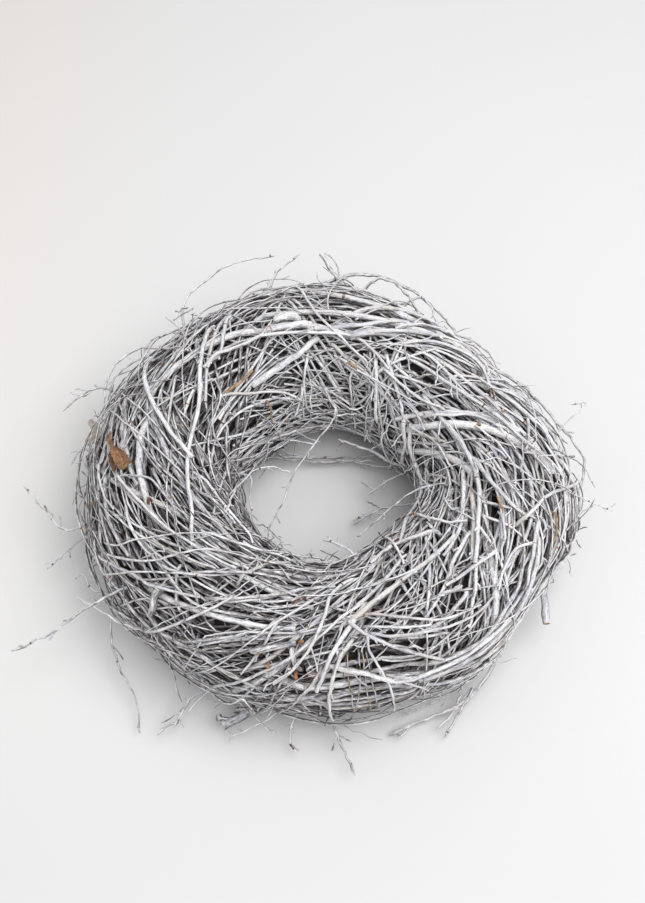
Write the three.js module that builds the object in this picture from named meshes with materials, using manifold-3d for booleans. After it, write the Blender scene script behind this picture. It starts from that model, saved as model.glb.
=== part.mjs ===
// Wreath of whitewashed twigs, lying on its back, in millimetres with +Z up.
// Twelve bunches of twigs are laid round a hoop of bent rod, each with its tips over the neck of
// the next, and each neck is bound with wire. Stray twigs stand out all round.
//
// Round the ring, an angle of 0 is +X and 90 is +Y. Across the ring, a turn of 0 points outwards,
// 90 up, 180 into the hole and 270 down. Depth is the distance from the middle of the bundle.

import * as THREE from 'three';
import { mergeVertices } from 'three/addons/utils/BufferGeometryUtils.js';
import Module from 'manifold-3d';

const wasm = await Module();
wasm.setup();

// Driving dimensions
const ringRadius = 128;
const bundleRadius = 62.8;
const pressedFlat = 4;
const bunchCount = 12;
const firstBunchAngle = -22;
const tipLead = 28;
const clearance = 0.3;
const blockSize = 700;
const blockDepth = 40;

// The ring is a little out of round, and the bundle a little thicker in some places.
const ringWaves = [
  { lobes: 2, reach: 1.7, at: -12 },
  { lobes: 3, reach: 2, at: -25 },
  { lobes: 4, reach: 2.4, at: -6 },
];
const bundleWaves = [
  { lobes: 1, reach: 1.3, at: 119 },
  { lobes: 2, reach: 3.1, at: -35 },
  { lobes: 3, reach: 1.7, at: -25 },
];

// Hoop and binding wire
const hoopRadius = 6;
const hoopSides = 6;
const hoopSteps = 36;
const neckDepth = 27;
const wireRadius = 0.7;
const wireSides = 3;
const neckSteps = 12;
const windingAngle = 278;
const windingDepth = 61.3;
const windingPitch = 1.5;
const windingTurns = 4;
const windingStepsPerTurn = 12;
const windingStart = 100;

// Bunches
const coverTwigs = 24;
const grooveDepth = 52;
const ridgeDepths = [54, 59.5, 60.5];
const ridgeJitter = 3;
const mostLean = 24;
const bunchGap = 1.6;
const crossingTwigs = 9;
const crossingDepths = [44, 63.5, 65.5];
const crossingFrom = -60;
const crossingSpan = 300;
const crossingDrift = 30;
const crossingThick = 3.6;
const crossingThin = 2.2;
const rootGap = 8;
const tipGap = 3.6;
const twigSteps = 3;
const twigSides = 3;

// Strays and leaf
const straySides = 5;
const strayRoot = 16;
const strayTaper = 0.55;
const strayBack = 6;
const leafPoints = 15;
const leafLength = 21;
const leafWidth = 13;
const leafThickness = 0.8;
const leafCup = 1.2;
const leafAngle = 179;
const leafTurn = 60;
const leafDepth = 62;
const leafSpin = 30;

const radians = THREE.MathUtils.degToRad;

function waved(base, waves, angle) {
  return waves.reduce(
    (sum, wave) => sum + wave.reach * Math.cos(radians(wave.lobes * (angle - wave.at))),
    base,
  );
}

const ringAt = (angle) => waved(ringRadius, ringWaves, angle);
const bundleAt = (angle) => waved(bundleRadius, bundleWaves, angle);

// A place in the bundle, by angle round the ring, turn across it and depth.
function inBundle(angle, turn, depth) {
  const size = bundleAt(angle);
  const reach = depth * (size / bundleRadius);
  const radius = ringAt(angle) + reach * Math.cos(radians(turn));
  return new THREE.Vector3(
    radius * Math.cos(radians(angle)),
    radius * Math.sin(radians(angle)),
    size - pressedFlat + reach * Math.sin(radians(turn)),
  );
}

// A place in a bunch: the nearer the surface, the further its twigs have gone round the ring.
function inBunch(along, turn, depth) {
  return inBundle(along + tipLead * (depth / bundleRadius), turn, depth);
}

// A place by angle, distance from the middle of the hole, and height.
function onPlan(angle, distance, height) {
  return new THREE.Vector3(
    distance * Math.cos(radians(angle)),
    distance * Math.sin(radians(angle)),
    height,
  );
}

// Random draws come from a seeded generator, so that the wreath is the same every time.
function seededRandom(seed) {
  let state = seed;
  return () => {
    state = (state * 1664525 + 1013904223) % 4294967296;
    return state / 4294967296;
  };
}

function solidOf(geometry) {
  const bare = geometry.clone();
  bare.deleteAttribute('normal');
  bare.deleteAttribute('uv');
  const merged = mergeVertices(bare, 1e-4);
  return new wasm.Manifold(
    new wasm.Mesh({
      numProp: 3,
      vertProperties: new Float32Array(merged.attributes.position.array),
      triVerts: new Uint32Array(merged.index.array),
    }),
  );
}

function geometryOf(solid) {
  const mesh = solid.getMesh();
  const geometry = new THREE.BufferGeometry();
  geometry.setAttribute('position', new THREE.BufferAttribute(mesh.vertProperties, 3));
  geometry.setIndex(new THREE.BufferAttribute(mesh.triVerts, 1));
  geometry.computeVertexNormals();
  return geometry;
}

// The largest piece of a solid, without loose scraps or the hollows that joining has sealed.
function largestPiece(solid) {
  return solid.decompose().reduce((best, piece) => (piece.volume() > best.volume() ? piece : best));
}

// A twig along a curve through the points, thinner towards its tip.
function twigGeometry(points, rootRadius, tipRadius, sides = twigSides, steps = twigSteps) {
  const curve = new THREE.CatmullRomCurve3(points);
  const section = new THREE.Shape();
  for (let side = 0; side < sides; side += 1) {
    const turn = (side / sides) * 2 * Math.PI;
    const corner = [rootRadius * Math.cos(turn), rootRadius * Math.sin(turn)];
    if (side === 0) section.moveTo(...corner);
    else section.lineTo(...corner);
  }
  section.closePath();
  const geometry = new THREE.ExtrudeGeometry(section, {
    steps,
    bevelEnabled: false,
    extrudePath: curve,
  });
  const middles = curve.getSpacedPoints(steps);
  const places = geometry.attributes.position;
  const place = new THREE.Vector3();
  for (let index = 0; index < places.count; index += 1) {
    place.fromBufferAttribute(places, index);
    let nearest = 0;
    middles.forEach((middle, step) => {
      if (place.distanceTo(middle) < place.distanceTo(middles[nearest])) nearest = step;
    });
    const thickness = THREE.MathUtils.lerp(1, tipRadius / rootRadius, nearest / steps);
    place.sub(middles[nearest]).multiplyScalar(thickness).add(middles[nearest]);
    places.setXYZ(index, place.x, place.y, place.z);
  }
  return geometry;
}

// The hoop of bent rod, or with extra thickness the channel that it needs.
function hoopGeometry(extra = 0) {
  const geometry = new THREE.TorusGeometry(ringRadius, hoopRadius + extra, hoopSides, hoopSteps);
  const places = geometry.attributes.position;
  for (let index = 0; index < places.count; index += 1) {
    const [x, y, z] = [places.getX(index), places.getY(index), places.getZ(index)];
    const angle = THREE.MathUtils.radToDeg(Math.atan2(y, x));
    const stretch = (Math.hypot(x, y) + ringAt(angle) - ringRadius) / Math.hypot(x, y);
    places.setXYZ(index, x * stretch, y * stretch, z + bundleAt(angle) - pressedFlat);
  }
  return geometry;
}

// The loop of wire round the neck of one bunch, in the gap below the tips of the bunch before.
function neckWireGeometry(start) {
  const angle = start + tipLead * (neckDepth / bundleRadius);
  const reach = neckDepth * (bundleAt(angle) / bundleRadius);
  const geometry = new THREE.TorusGeometry(reach, wireRadius, wireSides, neckSteps);
  const middle = inBundle(angle, 0, 0);
  geometry.rotateX(Math.PI / 2);
  geometry.rotateZ(radians(angle));
  geometry.translate(middle.x, middle.y, middle.z);
  return geometry;
}

// The winding that shows at the front, a few turns of wire side by side.
function windingGeometry() {
  const points = [];
  const steps = windingTurns * windingStepsPerTurn;
  for (let step = 0; step <= steps; step += 1) {
    const turns = step / windingStepsPerTurn;
    const angle = windingAngle + (turns - windingTurns / 2) * windingPitch;
    const place = inBundle(angle, windingStart + 360 * turns, windingDepth);
    place.z = Math.max(place.z, wireRadius + clearance);
    points.push(place);
  }
  return twigGeometry(points, wireRadius, wireRadius, wireSides, steps);
}

// The twigs that cover a bunch, side by side as ridges along it, low at the neck and closed by a
// cone at each end. The cone turns at the neck wire, so that the gap between bunches has room for it.
function coverGeometry(start, end, lean, random) {
  const spacing = 360 / coverTwigs;
  const rings = ridgeDepths.map((depth, step) => {
    const share = step / (ridgeDepths.length - 1);
    const along = THREE.MathUtils.lerp(start + bunchGap, end - bunchGap, share);
    return Array.from({ length: 2 * coverTwigs }, (_, side) => {
      const turn = (side / 2) * spacing + lean * share;
      const isRidge = side % 2 === 1;
      const shift = (random() - 0.5) * ridgeJitter;
      return inBunch(along, turn + shift, (isRidge ? depth : grooveDepth) + shift);
    });
  });

  const corners = [];
  const triangle = (...places) => places.forEach((place) => corners.push(...place.toArray()));
  for (let side = 0; side < 2 * coverTwigs; side += 1) {
    const next = (side + 1) % (2 * coverTwigs);
    for (let step = 1; step < rings.length; step += 1) {
      const [near, far] = [rings[step - 1], rings[step]];
      triangle(near[side], far[side], far[next]);
      triangle(near[side], far[next], near[next]);
    }
  }

  const close = (ring, along, twist, flipped) => {
    const face = (p, q, r) => (flipped ? triangle(p, r, q) : triangle(p, q, r));
    const middle = inBunch(along, 0, 0);
    const neck = Array.from({ length: coverTwigs }, (_, twig) =>
      inBunch(along, twig * spacing + twist, neckDepth));
    for (let twig = 0; twig < coverTwigs; twig += 1) {
      const next = (twig + 1) % coverTwigs;
      const [groove, ridge, nextGroove] = [ring[2 * twig], ring[2 * twig + 1], ring[2 * next]];
      face(middle, neck[twig], neck[next]);
      face(neck[twig], groove, ridge);
      face(neck[twig], ridge, neck[next]);
      face(neck[next], ridge, nextGroove);
    }
  };
  close(rings[0], start + bunchGap, 0, false);
  close(rings.at(-1), end - bunchGap, lean, true);

  const geometry = new THREE.BufferGeometry();
  geometry.setAttribute('position', new THREE.Float32BufferAttribute(corners, 3));
  return geometry;
}

// The twigs of one bunch: those that cover it, and those that lie across them with their roots
// sunk in and their tips free.
function bunchSolid(start, end, random) {
  const spread = (width) => (random() - 0.5) * width;
  const parts = [solidOf(coverGeometry(start, end, spread(mostLean), random))];
  for (let twig = 0; twig < crossingTwigs; twig += 1) {
    const turn = crossingFrom + (twig + random()) * (crossingSpan / crossingTwigs);
    const drift = (twig % 2 === 0 ? 1 : -1) * (crossingDrift + spread(crossingDrift));
    const depths = [...crossingDepths, crossingDepths.at(-1) + spread(5)];
    const points = depths.map((depth, index) => {
      const share = index / (depths.length - 1);
      const along = THREE.MathUtils.lerp(start + rootGap, end - tipGap, share);
      return inBunch(along, turn + drift * share, depth);
    });
    const thick = crossingThick + spread(1);
    parts.push(solidOf(twigGeometry(points, thick, crossingThin)));
  }
  return wasm.Manifold.union(parts);
}

// Strays stand out of the bunches. Places are an angle, a distance from the middle and a height.
const strays = [
  {
    name: 'upper_left_arc',
    thick: 1.7,
    places: [[128, 199, 100], [120, 208, 104], [113, 215, 104], [102, 218, 98]],
  },
  {
    name: 'left_high',
    thick: 1.8,
    places: [[154, 196, 70], [154, 214, 68], [157, 226, 64], [161, 236, 58]],
  },
  {
    name: 'left_long',
    thick: 2,
    places: [[187, 192, 50], [188, 213, 48], [183, 229, 46], [177, 251, 44]],
  },
  {
    name: 'left_short',
    thick: 1.7,
    places: [[188, 196, 40], [191, 212, 36], [194, 233, 30]],
  },
  {
    name: 'lower_left_long',
    thick: 2.2,
    places: [[213, 170, 80], [211, 206, 72], [211, 243, 62], [210, 275, 56]],
  },
  {
    name: 'lower_left_over',
    thick: 2,
    places: [[230, 162, 80], [224, 181, 68], [217, 195, 60], [205, 215, 52]],
  },
  {
    name: 'lower_left_fall',
    thick: 2,
    places: [[209, 191, 50], [215, 205, 34], [220, 212, 22], [227, 218, 14], [232, 234, 8]],
  },
  {
    name: 'front_left_tuft',
    thick: 2,
    places: [[240, 178, 26], [237, 194, 22], [237, 205, 20], [237, 218, 16]],
  },
  {
    name: 'front_broken_branch',
    thick: 4,
    places: [[253, 175, 22], [246, 198, 16]],
  },
  {
    name: 'front_hook',
    thick: 1.8,
    places: [[262, 176, 24], [261, 192, 16], [263, 203, 12]],
  },
  {
    name: 'front_spike',
    thick: 2,
    places: [[270, 160, 36], [271, 184, 22], [273, 201, 16], [275, 219, 12]],
  },
  {
    name: 'front_right_branch',
    thick: 2.6,
    places: [[313, 185, 26], [302, 192, 14], [292, 188, 8], [284, 190, 5]],
    fork: [[306, 188, 19], [300, 197, 12], [295, 207, 8]],
  },
  {
    name: 'right_stub',
    thick: 3.4,
    places: [[338, 181, 40], [328, 199, 34]],
  },
  {
    name: 'right_fine',
    thick: 1.7,
    places: [[356, 182, 84], [355, 203, 74], [354, 225, 66]],
  },
  {
    name: 'right_high',
    thick: 1.7,
    places: [[14, 194, 80], [18, 221, 82], [18, 206, 88]],
  },
  {
    name: 'top_stub',
    thick: 2.6,
    places: [[86, 178, 98], [92, 203, 112]],
  },
  {
    name: 'top_left',
    thick: 1.8,
    places: [[106, 181, 100], [103, 191, 108], [97, 204, 112]],
  },
];

// A stray starts inside its bunch, a little back along the way it runs.
function strayPoints(places) {
  const [[angle, distance, height], [nextAngle]] = places;
  const out = distance - ringAt(angle);
  const up = height - bundleAt(angle) + pressedFlat;
  const turn = THREE.MathUtils.radToDeg(Math.atan2(up, out));
  const depth = Math.min(Math.hypot(out, up) - strayRoot, grooveDepth - strayBack);
  const back = Math.sign(angle - nextAngle) * strayBack;
  return [inBundle(angle + back, turn, depth), ...places.map((place) => onPlan(...place))];
}

function straySolid({ places, fork, thick }, extra = 0) {
  const points = strayPoints(places);
  const thin = thick * strayTaper + extra;
  const main = solidOf(twigGeometry(points, thick + extra, thin, straySides, points.length));
  if (!fork) return main;
  const branch = fork.map((place) => onPlan(...place));
  const side = twigGeometry(branch, thick * 0.7 + extra, thin, straySides, fork.length);
  return main.add(solidOf(side));
}

// A dry leaf, ragged and a little cupped, caught between the twigs on the left.
function leafGeometry(extra = 0) {
  const outline = new THREE.Shape();
  for (let point = 0; point < leafPoints; point += 1) {
    const turn = (point / leafPoints) * 2 * Math.PI;
    const ragged = 1 + 0.2 * Math.cos(5 * turn) + 0.08 * Math.sin(3 * turn);
    const corner = [
      (leafLength / 2 + extra) * ragged * Math.cos(turn),
      (leafWidth / 2 + extra) * ragged * Math.sin(turn),
    ];
    if (point === 0) outline.moveTo(...corner);
    else outline.lineTo(...corner);
  }
  outline.closePath();
  const depth = leafThickness + 2 * extra;
  const geometry = new THREE.ExtrudeGeometry(outline, { depth, bevelEnabled: false });
  geometry.translate(0, 0, -depth / 2);
  const places = geometry.attributes.position;
  for (let index = 0; index < places.count; index += 1) {
    const [x, y, z] = [places.getX(index), places.getY(index), places.getZ(index)];
    const [end, edge] = [(2 * x) / leafLength, (2 * y) / leafWidth];
    places.setZ(index, z + leafCup * (end * end + edge * edge));
  }
  const seat = inBundle(leafAngle, leafTurn, leafDepth);
  const outwards = inBundle(leafAngle, leafTurn, leafDepth + 1).sub(seat).normalize();
  const facing = new THREE.Quaternion().setFromUnitVectors(new THREE.Vector3(0, 0, 1), outwards);
  geometry.rotateZ(radians(leafSpin));
  geometry.applyQuaternion(facing);
  geometry.translate(seat.x, seat.y, seat.z);
  return geometry;
}

// Colours and finishes
const whitewashed = new THREE.MeshStandardMaterial({ color: 0xc6c4c8, roughness: 0.85 });
const bareWood = new THREE.MeshStandardMaterial({ color: 0x8a7a68, roughness: 0.8 });
const brass = new THREE.MeshStandardMaterial({ color: 0xb39a5e, roughness: 0.4, metalness: 0.9 });
const dryLeaf = new THREE.MeshStandardMaterial({ color: 0x7a5a3c, roughness: 0.9 });

function named(name, geometry, material) {
  const mesh = new THREE.Mesh(geometry, material.clone());
  mesh.name = name;
  return mesh;
}

const numbered = (name, index) => `${name}_${String(index + 1).padStart(2, '0')}`;

// What lies below the surface that the wreath rests on, which presses its lowest twigs flat.
const below = new THREE.BoxGeometry(blockSize, blockSize, blockDepth).translate(0, 0, -blockDepth / 2);
const floorBlock = solidOf(below);

const wreath = new THREE.Group();
wreath.add(named('hoop', geometryOf(solidOf(hoopGeometry())), bareWood));

const fitted = [
  solidOf(hoopGeometry(clearance)),
  solidOf(leafGeometry(clearance)),
  ...strays.map((stray) => straySolid(stray, clearance)),
];
const cutAway = wasm.Manifold.union([floorBlock, ...fitted]);

const step = 360 / bunchCount;
for (let index = 0; index < bunchCount; index += 1) {
  const start = firstBunchAngle + index * step;
  const random = seededRandom(1000 + 77 * index);
  const bunch = largestPiece(bunchSolid(start, start + step, random).subtract(cutAway));
  wreath.add(named(numbered('bunch', index), geometryOf(bunch), whitewashed));
  const wire = geometryOf(solidOf(neckWireGeometry(start)));
  wreath.add(named(numbered('neck_wire', index), wire, brass));
}

strays.forEach((stray) => {
  const twig = straySolid(stray).subtract(floorBlock);
  wreath.add(named(`stray_${stray.name}`, geometryOf(largestPiece(twig)), whitewashed));
});
wreath.add(named('front_winding', geometryOf(solidOf(windingGeometry())), brass));
wreath.add(named('dry_leaf', geometryOf(solidOf(leafGeometry())), dryLeaf));

// The origin is under the middle of everything, strays included, on the surface it lies on.
const box = new THREE.Box3().setFromObject(wreath, true);
const middle = box.getCenter(new THREE.Vector3());
wreath.position.set(-middle.x, -middle.y, -box.min.z);

export default wreath;
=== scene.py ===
"""Look of a wreath of whitewashed twigs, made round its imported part, in metres with +Z up.

Twigs are laid on the bundle one over another, in twelve bunches, and each one rests on those that
lie below it. Round the ring, an angle of 0 is +X and 90 is +Y. Across the ring, a turn of 0 points
outwards, 90 up, 180 into the hole and 270 down. Depth is the distance from the middle of the
bundle. Angles and turns are in degrees. Only the lists of twigs and leaves are in millimetres.
"""

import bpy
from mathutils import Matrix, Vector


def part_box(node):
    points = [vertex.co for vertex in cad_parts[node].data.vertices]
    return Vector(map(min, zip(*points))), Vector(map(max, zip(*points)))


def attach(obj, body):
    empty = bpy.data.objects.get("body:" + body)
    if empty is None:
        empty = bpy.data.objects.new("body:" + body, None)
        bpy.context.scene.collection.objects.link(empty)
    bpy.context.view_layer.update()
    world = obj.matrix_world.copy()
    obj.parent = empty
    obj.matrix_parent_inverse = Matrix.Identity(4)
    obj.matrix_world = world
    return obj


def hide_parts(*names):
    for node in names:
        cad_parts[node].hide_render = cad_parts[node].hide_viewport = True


bl_info = {
    "name": "Whitewashed twig wreath",
    "version": (1, 0, 0),
    "blender": (4, 5, 0),
    "location": "3D View > Sidebar > Wreath",
    "description": "Lays the twigs, wire and leaf of a whitewashed wreath and sets its stage",
    "category": "Add Mesh",
}

import math
from dataclasses import dataclass

import bpy
import numpy as np
from bpy.props import FloatProperty, FloatVectorProperty, IntProperty, PointerProperty
from mathutils import Vector

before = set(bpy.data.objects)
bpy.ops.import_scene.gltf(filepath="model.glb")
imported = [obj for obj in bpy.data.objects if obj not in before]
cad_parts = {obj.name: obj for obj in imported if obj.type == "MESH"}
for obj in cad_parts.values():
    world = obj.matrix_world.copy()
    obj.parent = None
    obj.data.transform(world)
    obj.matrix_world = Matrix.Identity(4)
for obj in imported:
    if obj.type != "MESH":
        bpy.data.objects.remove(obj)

MM_IN_METRE = 1000
ALL_ROUND = 360.0
BUNCHES = 12
BUNCH_SPAN = ALL_ROUND / BUNCHES
ENDS = [0, -1]
TINY = 1e-9

# The ring is a little out of round, and the bundle a little thicker in some places.
# Each wave is a number of lobes, how far it reaches, and the angle it is highest at.
RING_WAVES = ((2, 0.0017, -12), (3, 0.0020, -25), (4, 0.0024, -6))
BUNDLE_WAVES = ((1, 0.0013, 119), (2, 0.0031, -35), (3, 0.0017, -25))

# Where the bundle is thinner than usual: angle, turn, how much, and how wide either way.
DENTS = ((327, -5, 0.011, 9, 32), (40, 27, 0.006, 9, 25))

# The hoop's box isn't quite centred on the ring, because the ring is out of round.
HOOP_LEAN = Vector((0.00055, 0.00195, 0))

# The pile's cells, and how a twig is laid on them: its places between two rings, across it, and
# how far it may be pressed in on average. Layers are laid lowest first, by so much below the top.
PILE_START = 0.001
PILE_CELLS_ROUND = 900
PILE_CELLS_ACROSS = 400
PILE_STEPS = 6
PILE_SIDES = np.array((-1.0, -0.5, 0.0, 0.5, 1.0))
PILE_GIVE = 0.0005
PILE_ROUNDS = (0.008, 0.005, 0.0025, 0)
PILE_TOP_OF_TWIG = 0.9

# Patches kept clear of later twigs, by angles and turns: round the winding and the stub.
WIRE_CLEARING = ((271, 284), (-6, 37))
STUB_CLEARING = ((318, 336), (-45, 12))
CLEARING_HEIGHT = 0.02

# How twigs differ: root thickness, swollen nodes, unevenness, scabs, how sharply they kink, and
# how crooked the long ones are, in angle and in turn.
ROOT_SPREAD = 0.2
KNOT_SWELLING = (0.05, 0.24)
UNEVENNESS = (0.97, 1.03)
SCAB_SHARE = 0.16
KINK_LIMIT = 12
LENGTH_SPREAD = 0.25
CROOKED_LENGTH = 0.11
CROOKEDNESS = (0.10, 0.20)

# Twigs on the side that faces this angle get more wash and those at the far side less, partly a
# thicker wash and partly painted light and shade, and the lay is calmer at the other.
WASH_AND_LIGHT_SIDE = 40
WASH_AND_LIGHT_LEAN = 0.15
CALM_SIDE = 225
CALMNESS = 0.55

# Twigs of a layer: how many are tried for each one laid, and where their ends dip or lift.
TRIES = 4
START_TRIES = 30
SHORTER_INSIDE = 0.5
SHORTEST_TO_LONGEST = (0.62, 1.2)
ROOT_SHARE = 0.3
TIP_TUCKED = 0.6
TIP_SHARE = 0.2
LIFT_SHARE = 0.4
ARCHES = (0.4, 1)

# Twigs through chosen places: their taper, nodes and sides, how stiff they are, how much of their
# own radius they stand on what is below, and the share of each end that is tucked in.
PLACED_TAPER = 0.75
PLACED_KNOTS = 0.16
PLACED_SIDES = 8
PLACED_STIFFNESS = 7
PLACED_PRESS = 0.7
PLACED_END = 0.16
SHORT_RINGS = 8

# Near a leading twig the others follow it. Those thicker than a leading rod, in millimetres, are
# laid before the fine ones.
LAY_STEPS = 12
LAY_REACH = 0.022
FOLLOWING_SLANT = 0.8
LEADING_ROD = 2.5

# Sprays of twigs side by side: how far they are shifted, and how far they bend and fan out.
SPRAY_LENGTH = 0.022
SPRAY_GAP = 1.25
SPRAY_BEND = 2.2
SPRAY_SHIFT = 0.3
SPRAY_FAN = 5
MEMBER_BEND = 0.6

# Side shoots: their sides, fork angles, spread of lengths, bend, root, taper and bud.
SHOOT_SIDES = 4
FIRST_SHOOT_RING = 3
SHOOT_FORKS = (22, 62)
SHOOT_SPREAD = 0.4
SHOOT_LIMITS = (-1, 0.7)
SHOOT_BEND = 0.3
SHOOT_BENDS = (0.6, 0.5)
SHOOT_CROOKEDNESS = 0.05
SHOOT_ROOT = 0.6
SHOOT_TAPER = 0.62
SHOOT_BUD = (1.25, 0.45)
SHOOT_UNEVENNESS = 0.1
SHOOT_SCABS = 0.3
SLIM_SHOOT = 0.7
SPURS_TO_A_SHOOT = 1.6

# Twigs that stand free: how far their roots are inside, their rings, taper, crookedness and bud.
ROOT_BACK = 6
STRAY_ROOT = 0.016
DEEPEST_ROOT = 0.046
RING_SPACING = 0.005
FEWEST_RINGS = 8
STRAY_TAPER = 0.55
STUB_TAPER = 0.95
STRAY_KNOTS = 0.22
STRAY_BUD = (1.1, 1.5, 0.6)
STRAY_BUD_SCABS = 0.5
STRAY_SIDES = 8
THICK_STUB = 0.0018
FORK_SHARE = 0.7
FORK_RINGS = 10
CROOKED_SHARE = 0.3
CROOKED_MOST = 0.0012
CROOKED_LEAST = 0.0001
STRAY_TONE = 0.6
STRAY_SHOOT_SHARE = 0.4
STRAY_SHOOT_THICKNESS = 1.3

# Bark: how far apart the twigs are in its patterns, how much less wash their sides and undersides
# get, partly a thinner wash and partly painted shade, and how far cut ends bulge.
BARK_SPREAD = 3.0
BARK_SHIFT = (0.137, 0.291, 0.473)
WASH_AND_SHADE_LOST_BELOW = 0.46
END_BULGE = 0.12

# The mass inside a bunch, near-black as painted shade where it shows between twigs: its points,
# ridges, lowest place and how far it reaches into the next bunches, in degrees, and how its bark
# is laid out.
CORE_RINGS = 8
CORE_SIDES = 72
CORE_RIDGE = 0.0012
CORE_LOWEST = 0.003
CORE_OVERLAP = 1
CORE_BARK_ROUND = 0.002
CORE_BARK_ALONG = 0.003

# Angle of each pass of the wire, where it comes up the outside and 40 degrees further up.
WIRE_PASSES = ((275.6, 274.3), (275.9, 277.3), (279.2, 278.3), (281.2, 279.5))
WIRE_START = 100
WIRE_LOW = 358
WIRE_CLIMB = 40
WIRE_STEP = 4
WIRE_SHOWS = 15
WIRE_SHOWN_SIDE = 38
WIRE_SLACK = 0.1
WIRE_STIFFNESS = 4
WIRE_END_SHARE = 0.03
WIRE_END_DEPTH = 0.009
WIRE_HIDDEN_DEPTH = 0.004

# The camera's view: to the right, up and towards it, which the leaf outlines are drawn in, and the
# place that it looks at, from the middle of the hole.
ACROSS = np.array((1.0, 0.0, 0.0))
UPWARDS = np.array((0.0, 0.85, 0.53))
TOWARDS = np.array((0.0, -0.53, 0.85))
SENSOR_WIDTH = 36
AIM = Vector((-0.0053, 0.0748, -0.002))

# A leaf's points, thickness and ragged edge, how it is cupped and rippled, and its veins.
LEAF_ROWS = 48
LEAF_COLUMNS = 21
LEAF_THICKNESS = 0.00035
LEAF_RAGGEDNESS = 0.0004
LEAF_CUP = 0.15
RIPPLE_DEPTH = 0.0006
RIPPLES_ALONG = 9
RIPPLES_ACROSS = 2.5
VEIN_DEPTH = 0.0003
VEIN_WIDTH = 0.08
SIDE_VEIN_DEPTH = 0.00012
SIDE_VEINS = 46
SIDE_VEIN_LEAN = 0.35

# Each leaf's angle, turn and height over the twigs, and which way it faces: outwards at an angle
# and turn, by a share, and for the rest towards the camera. The fold is a little behind its leaf
# and darkened as painted shade.
BROWN_LEAF_AT = (180.5, 62.5, 0.0028)
BROWN_LEAF_FACES = (180, 60, 2)
FOLD_BEHIND = 0.001
PAINTED_LEAF_AT = (169, 27, 0.003)
PAINTED_LEAF_FACES = (168, 20, 0.15)

# Finishes and the floor.
NOISE_ROUGHNESS = 0.55
DULL_BRASS = 0.45
# Tint of the painted warm light in the floor's upper left corner.
PAINTED_WARM_LIGHT = (1.0, 0.955, 0.92)
FLOOR_RADIUS = 9
FLOOR_CORNERS = 96


def length_property(name, description, default):
    return FloatProperty(name=name, description=description, default=default, unit="LENGTH")


def angle_property(name, description, degrees):
    return FloatProperty(
        name=name, description=description, default=math.radians(degrees), subtype="ANGLE")


def count_property(name, description, default):
    return IntProperty(name=name, description=description, default=default)


def colour_property(name, description, default):
    return FloatVectorProperty(
        name=name, description=description, default=default, subtype="COLOR", min=0, max=1)


class WreathShape(bpy.types.PropertyGroup):
    ring_radius: length_property(
        "Ring radius", "From the middle of the hole to the middle of the bundle", 0.128)
    bundle_radius: length_property(
        "Bundle radius", "Half the thickness of the ring of twigs", 0.0628)
    pressed_flat: length_property(
        "Pressed flat", "How far the lowest twigs are pressed in by the floor", 0.004)
    fullest_depth: length_property(
        "Fullest depth", "Where the outermost laid twigs lie", 0.0625)
    core_depth: length_property(
        "Core depth", "Where the innermost twigs lie that can be seen", 0.042)
    first_bunch: angle_property(
        "First bunch", "Angle at which the first bunch starts", -22)
    tip_lead: angle_property(
        "Tip lead", "How far round the ring a bunch's surface is ahead of its middle", 28)


class TwigSizes(bpy.types.PropertyGroup):
    # The inner twigs are darker partly from a thinner wash and partly as painted shade.
    inner_count: count_property("Inner twigs", "Dark twigs below the cover of each bunch", 75)
    cover_count: count_property("Cover twigs", "Twigs that cover each bunch", 96)
    fill_count: count_property(
        "Fillers", "Short twigs that fill the hollows of each bunch, layer by layer", 40)
    rod_count: count_property("Rods", "Thick rods in each bunch", 3)
    fine_count: count_property("Fine twigs", "Thin twigs that lie over each bunch", 26)
    loop_count: count_property("Loops", "Twigs that arch clear of each bunch", 6)
    inner_thickness: length_property(
        "Inner thickness", "Thickness of an inner twig at its root", 0.0029)
    cover_thickness: length_property(
        "Cover thickness", "Thickness of a cover twig at its root", 0.0027)
    rod_thickness: length_property("Rod thickness", "Thickness of a rod at its root", 0.0056)
    fine_thickness: length_property(
        "Fine thickness", "Thickness of a fine twig at its root", 0.0017)
    shoot_length: length_property("Shoot length", "Usual length of a side shoot", 0.017)
    spur_length: length_property(
        "Spur length", "Usual length of the short spurs at the nodes", 0.0045)
    wire_thickness: length_property("Wire thickness", "Thickness of the binding wire", 0.0010)
    leaf_length: length_property("Leaf length", "Length of the dry leaf", 0.029)


class WreathColours(bpy.types.PropertyGroup):
    wash_light: colour_property(
        "Whitewash", "The thin white wash where it is thickest", (0.93, 0.93, 0.95))
    wash_shade: colour_property(
        "Thin whitewash", "The wash where the bark greys it", (0.50, 0.495, 0.56))
    wash_warm: colour_property(
        "Warm whitewash", "The thin wash where the bark warms it", (0.56, 0.53, 0.49))
    bark_light: colour_property(
        "Bark", "Grey-brown bark that the wash has missed", (0.18, 0.165, 0.165))
    # Dark bark, and the base of the near-black painted shade on the core inside the bunches.
    bark_dark_and_inner_shade: colour_property(
        "Dark bark", "Bark in its cracks and deep inside", (0.048, 0.042, 0.044))
    scab: colour_property("Scab", "Red-brown scars at the nodes", (0.11, 0.045, 0.025))
    bud: colour_property("Bud", "Orange-tan buds and scars", (0.34, 0.17, 0.08))
    cut_wood: colour_property("Cut wood", "Tan wood at a cut or broken end", (0.48, 0.33, 0.20))
    brass: colour_property("Wire", "Brass-coloured binding wire", (0.55, 0.40, 0.20))
    leaf: colour_property("Leaf", "Dry brown leaf", (0.25, 0.128, 0.066))
    floor: colour_property("Floor", "Pale floor", (0.73, 0.73, 0.73))


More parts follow.
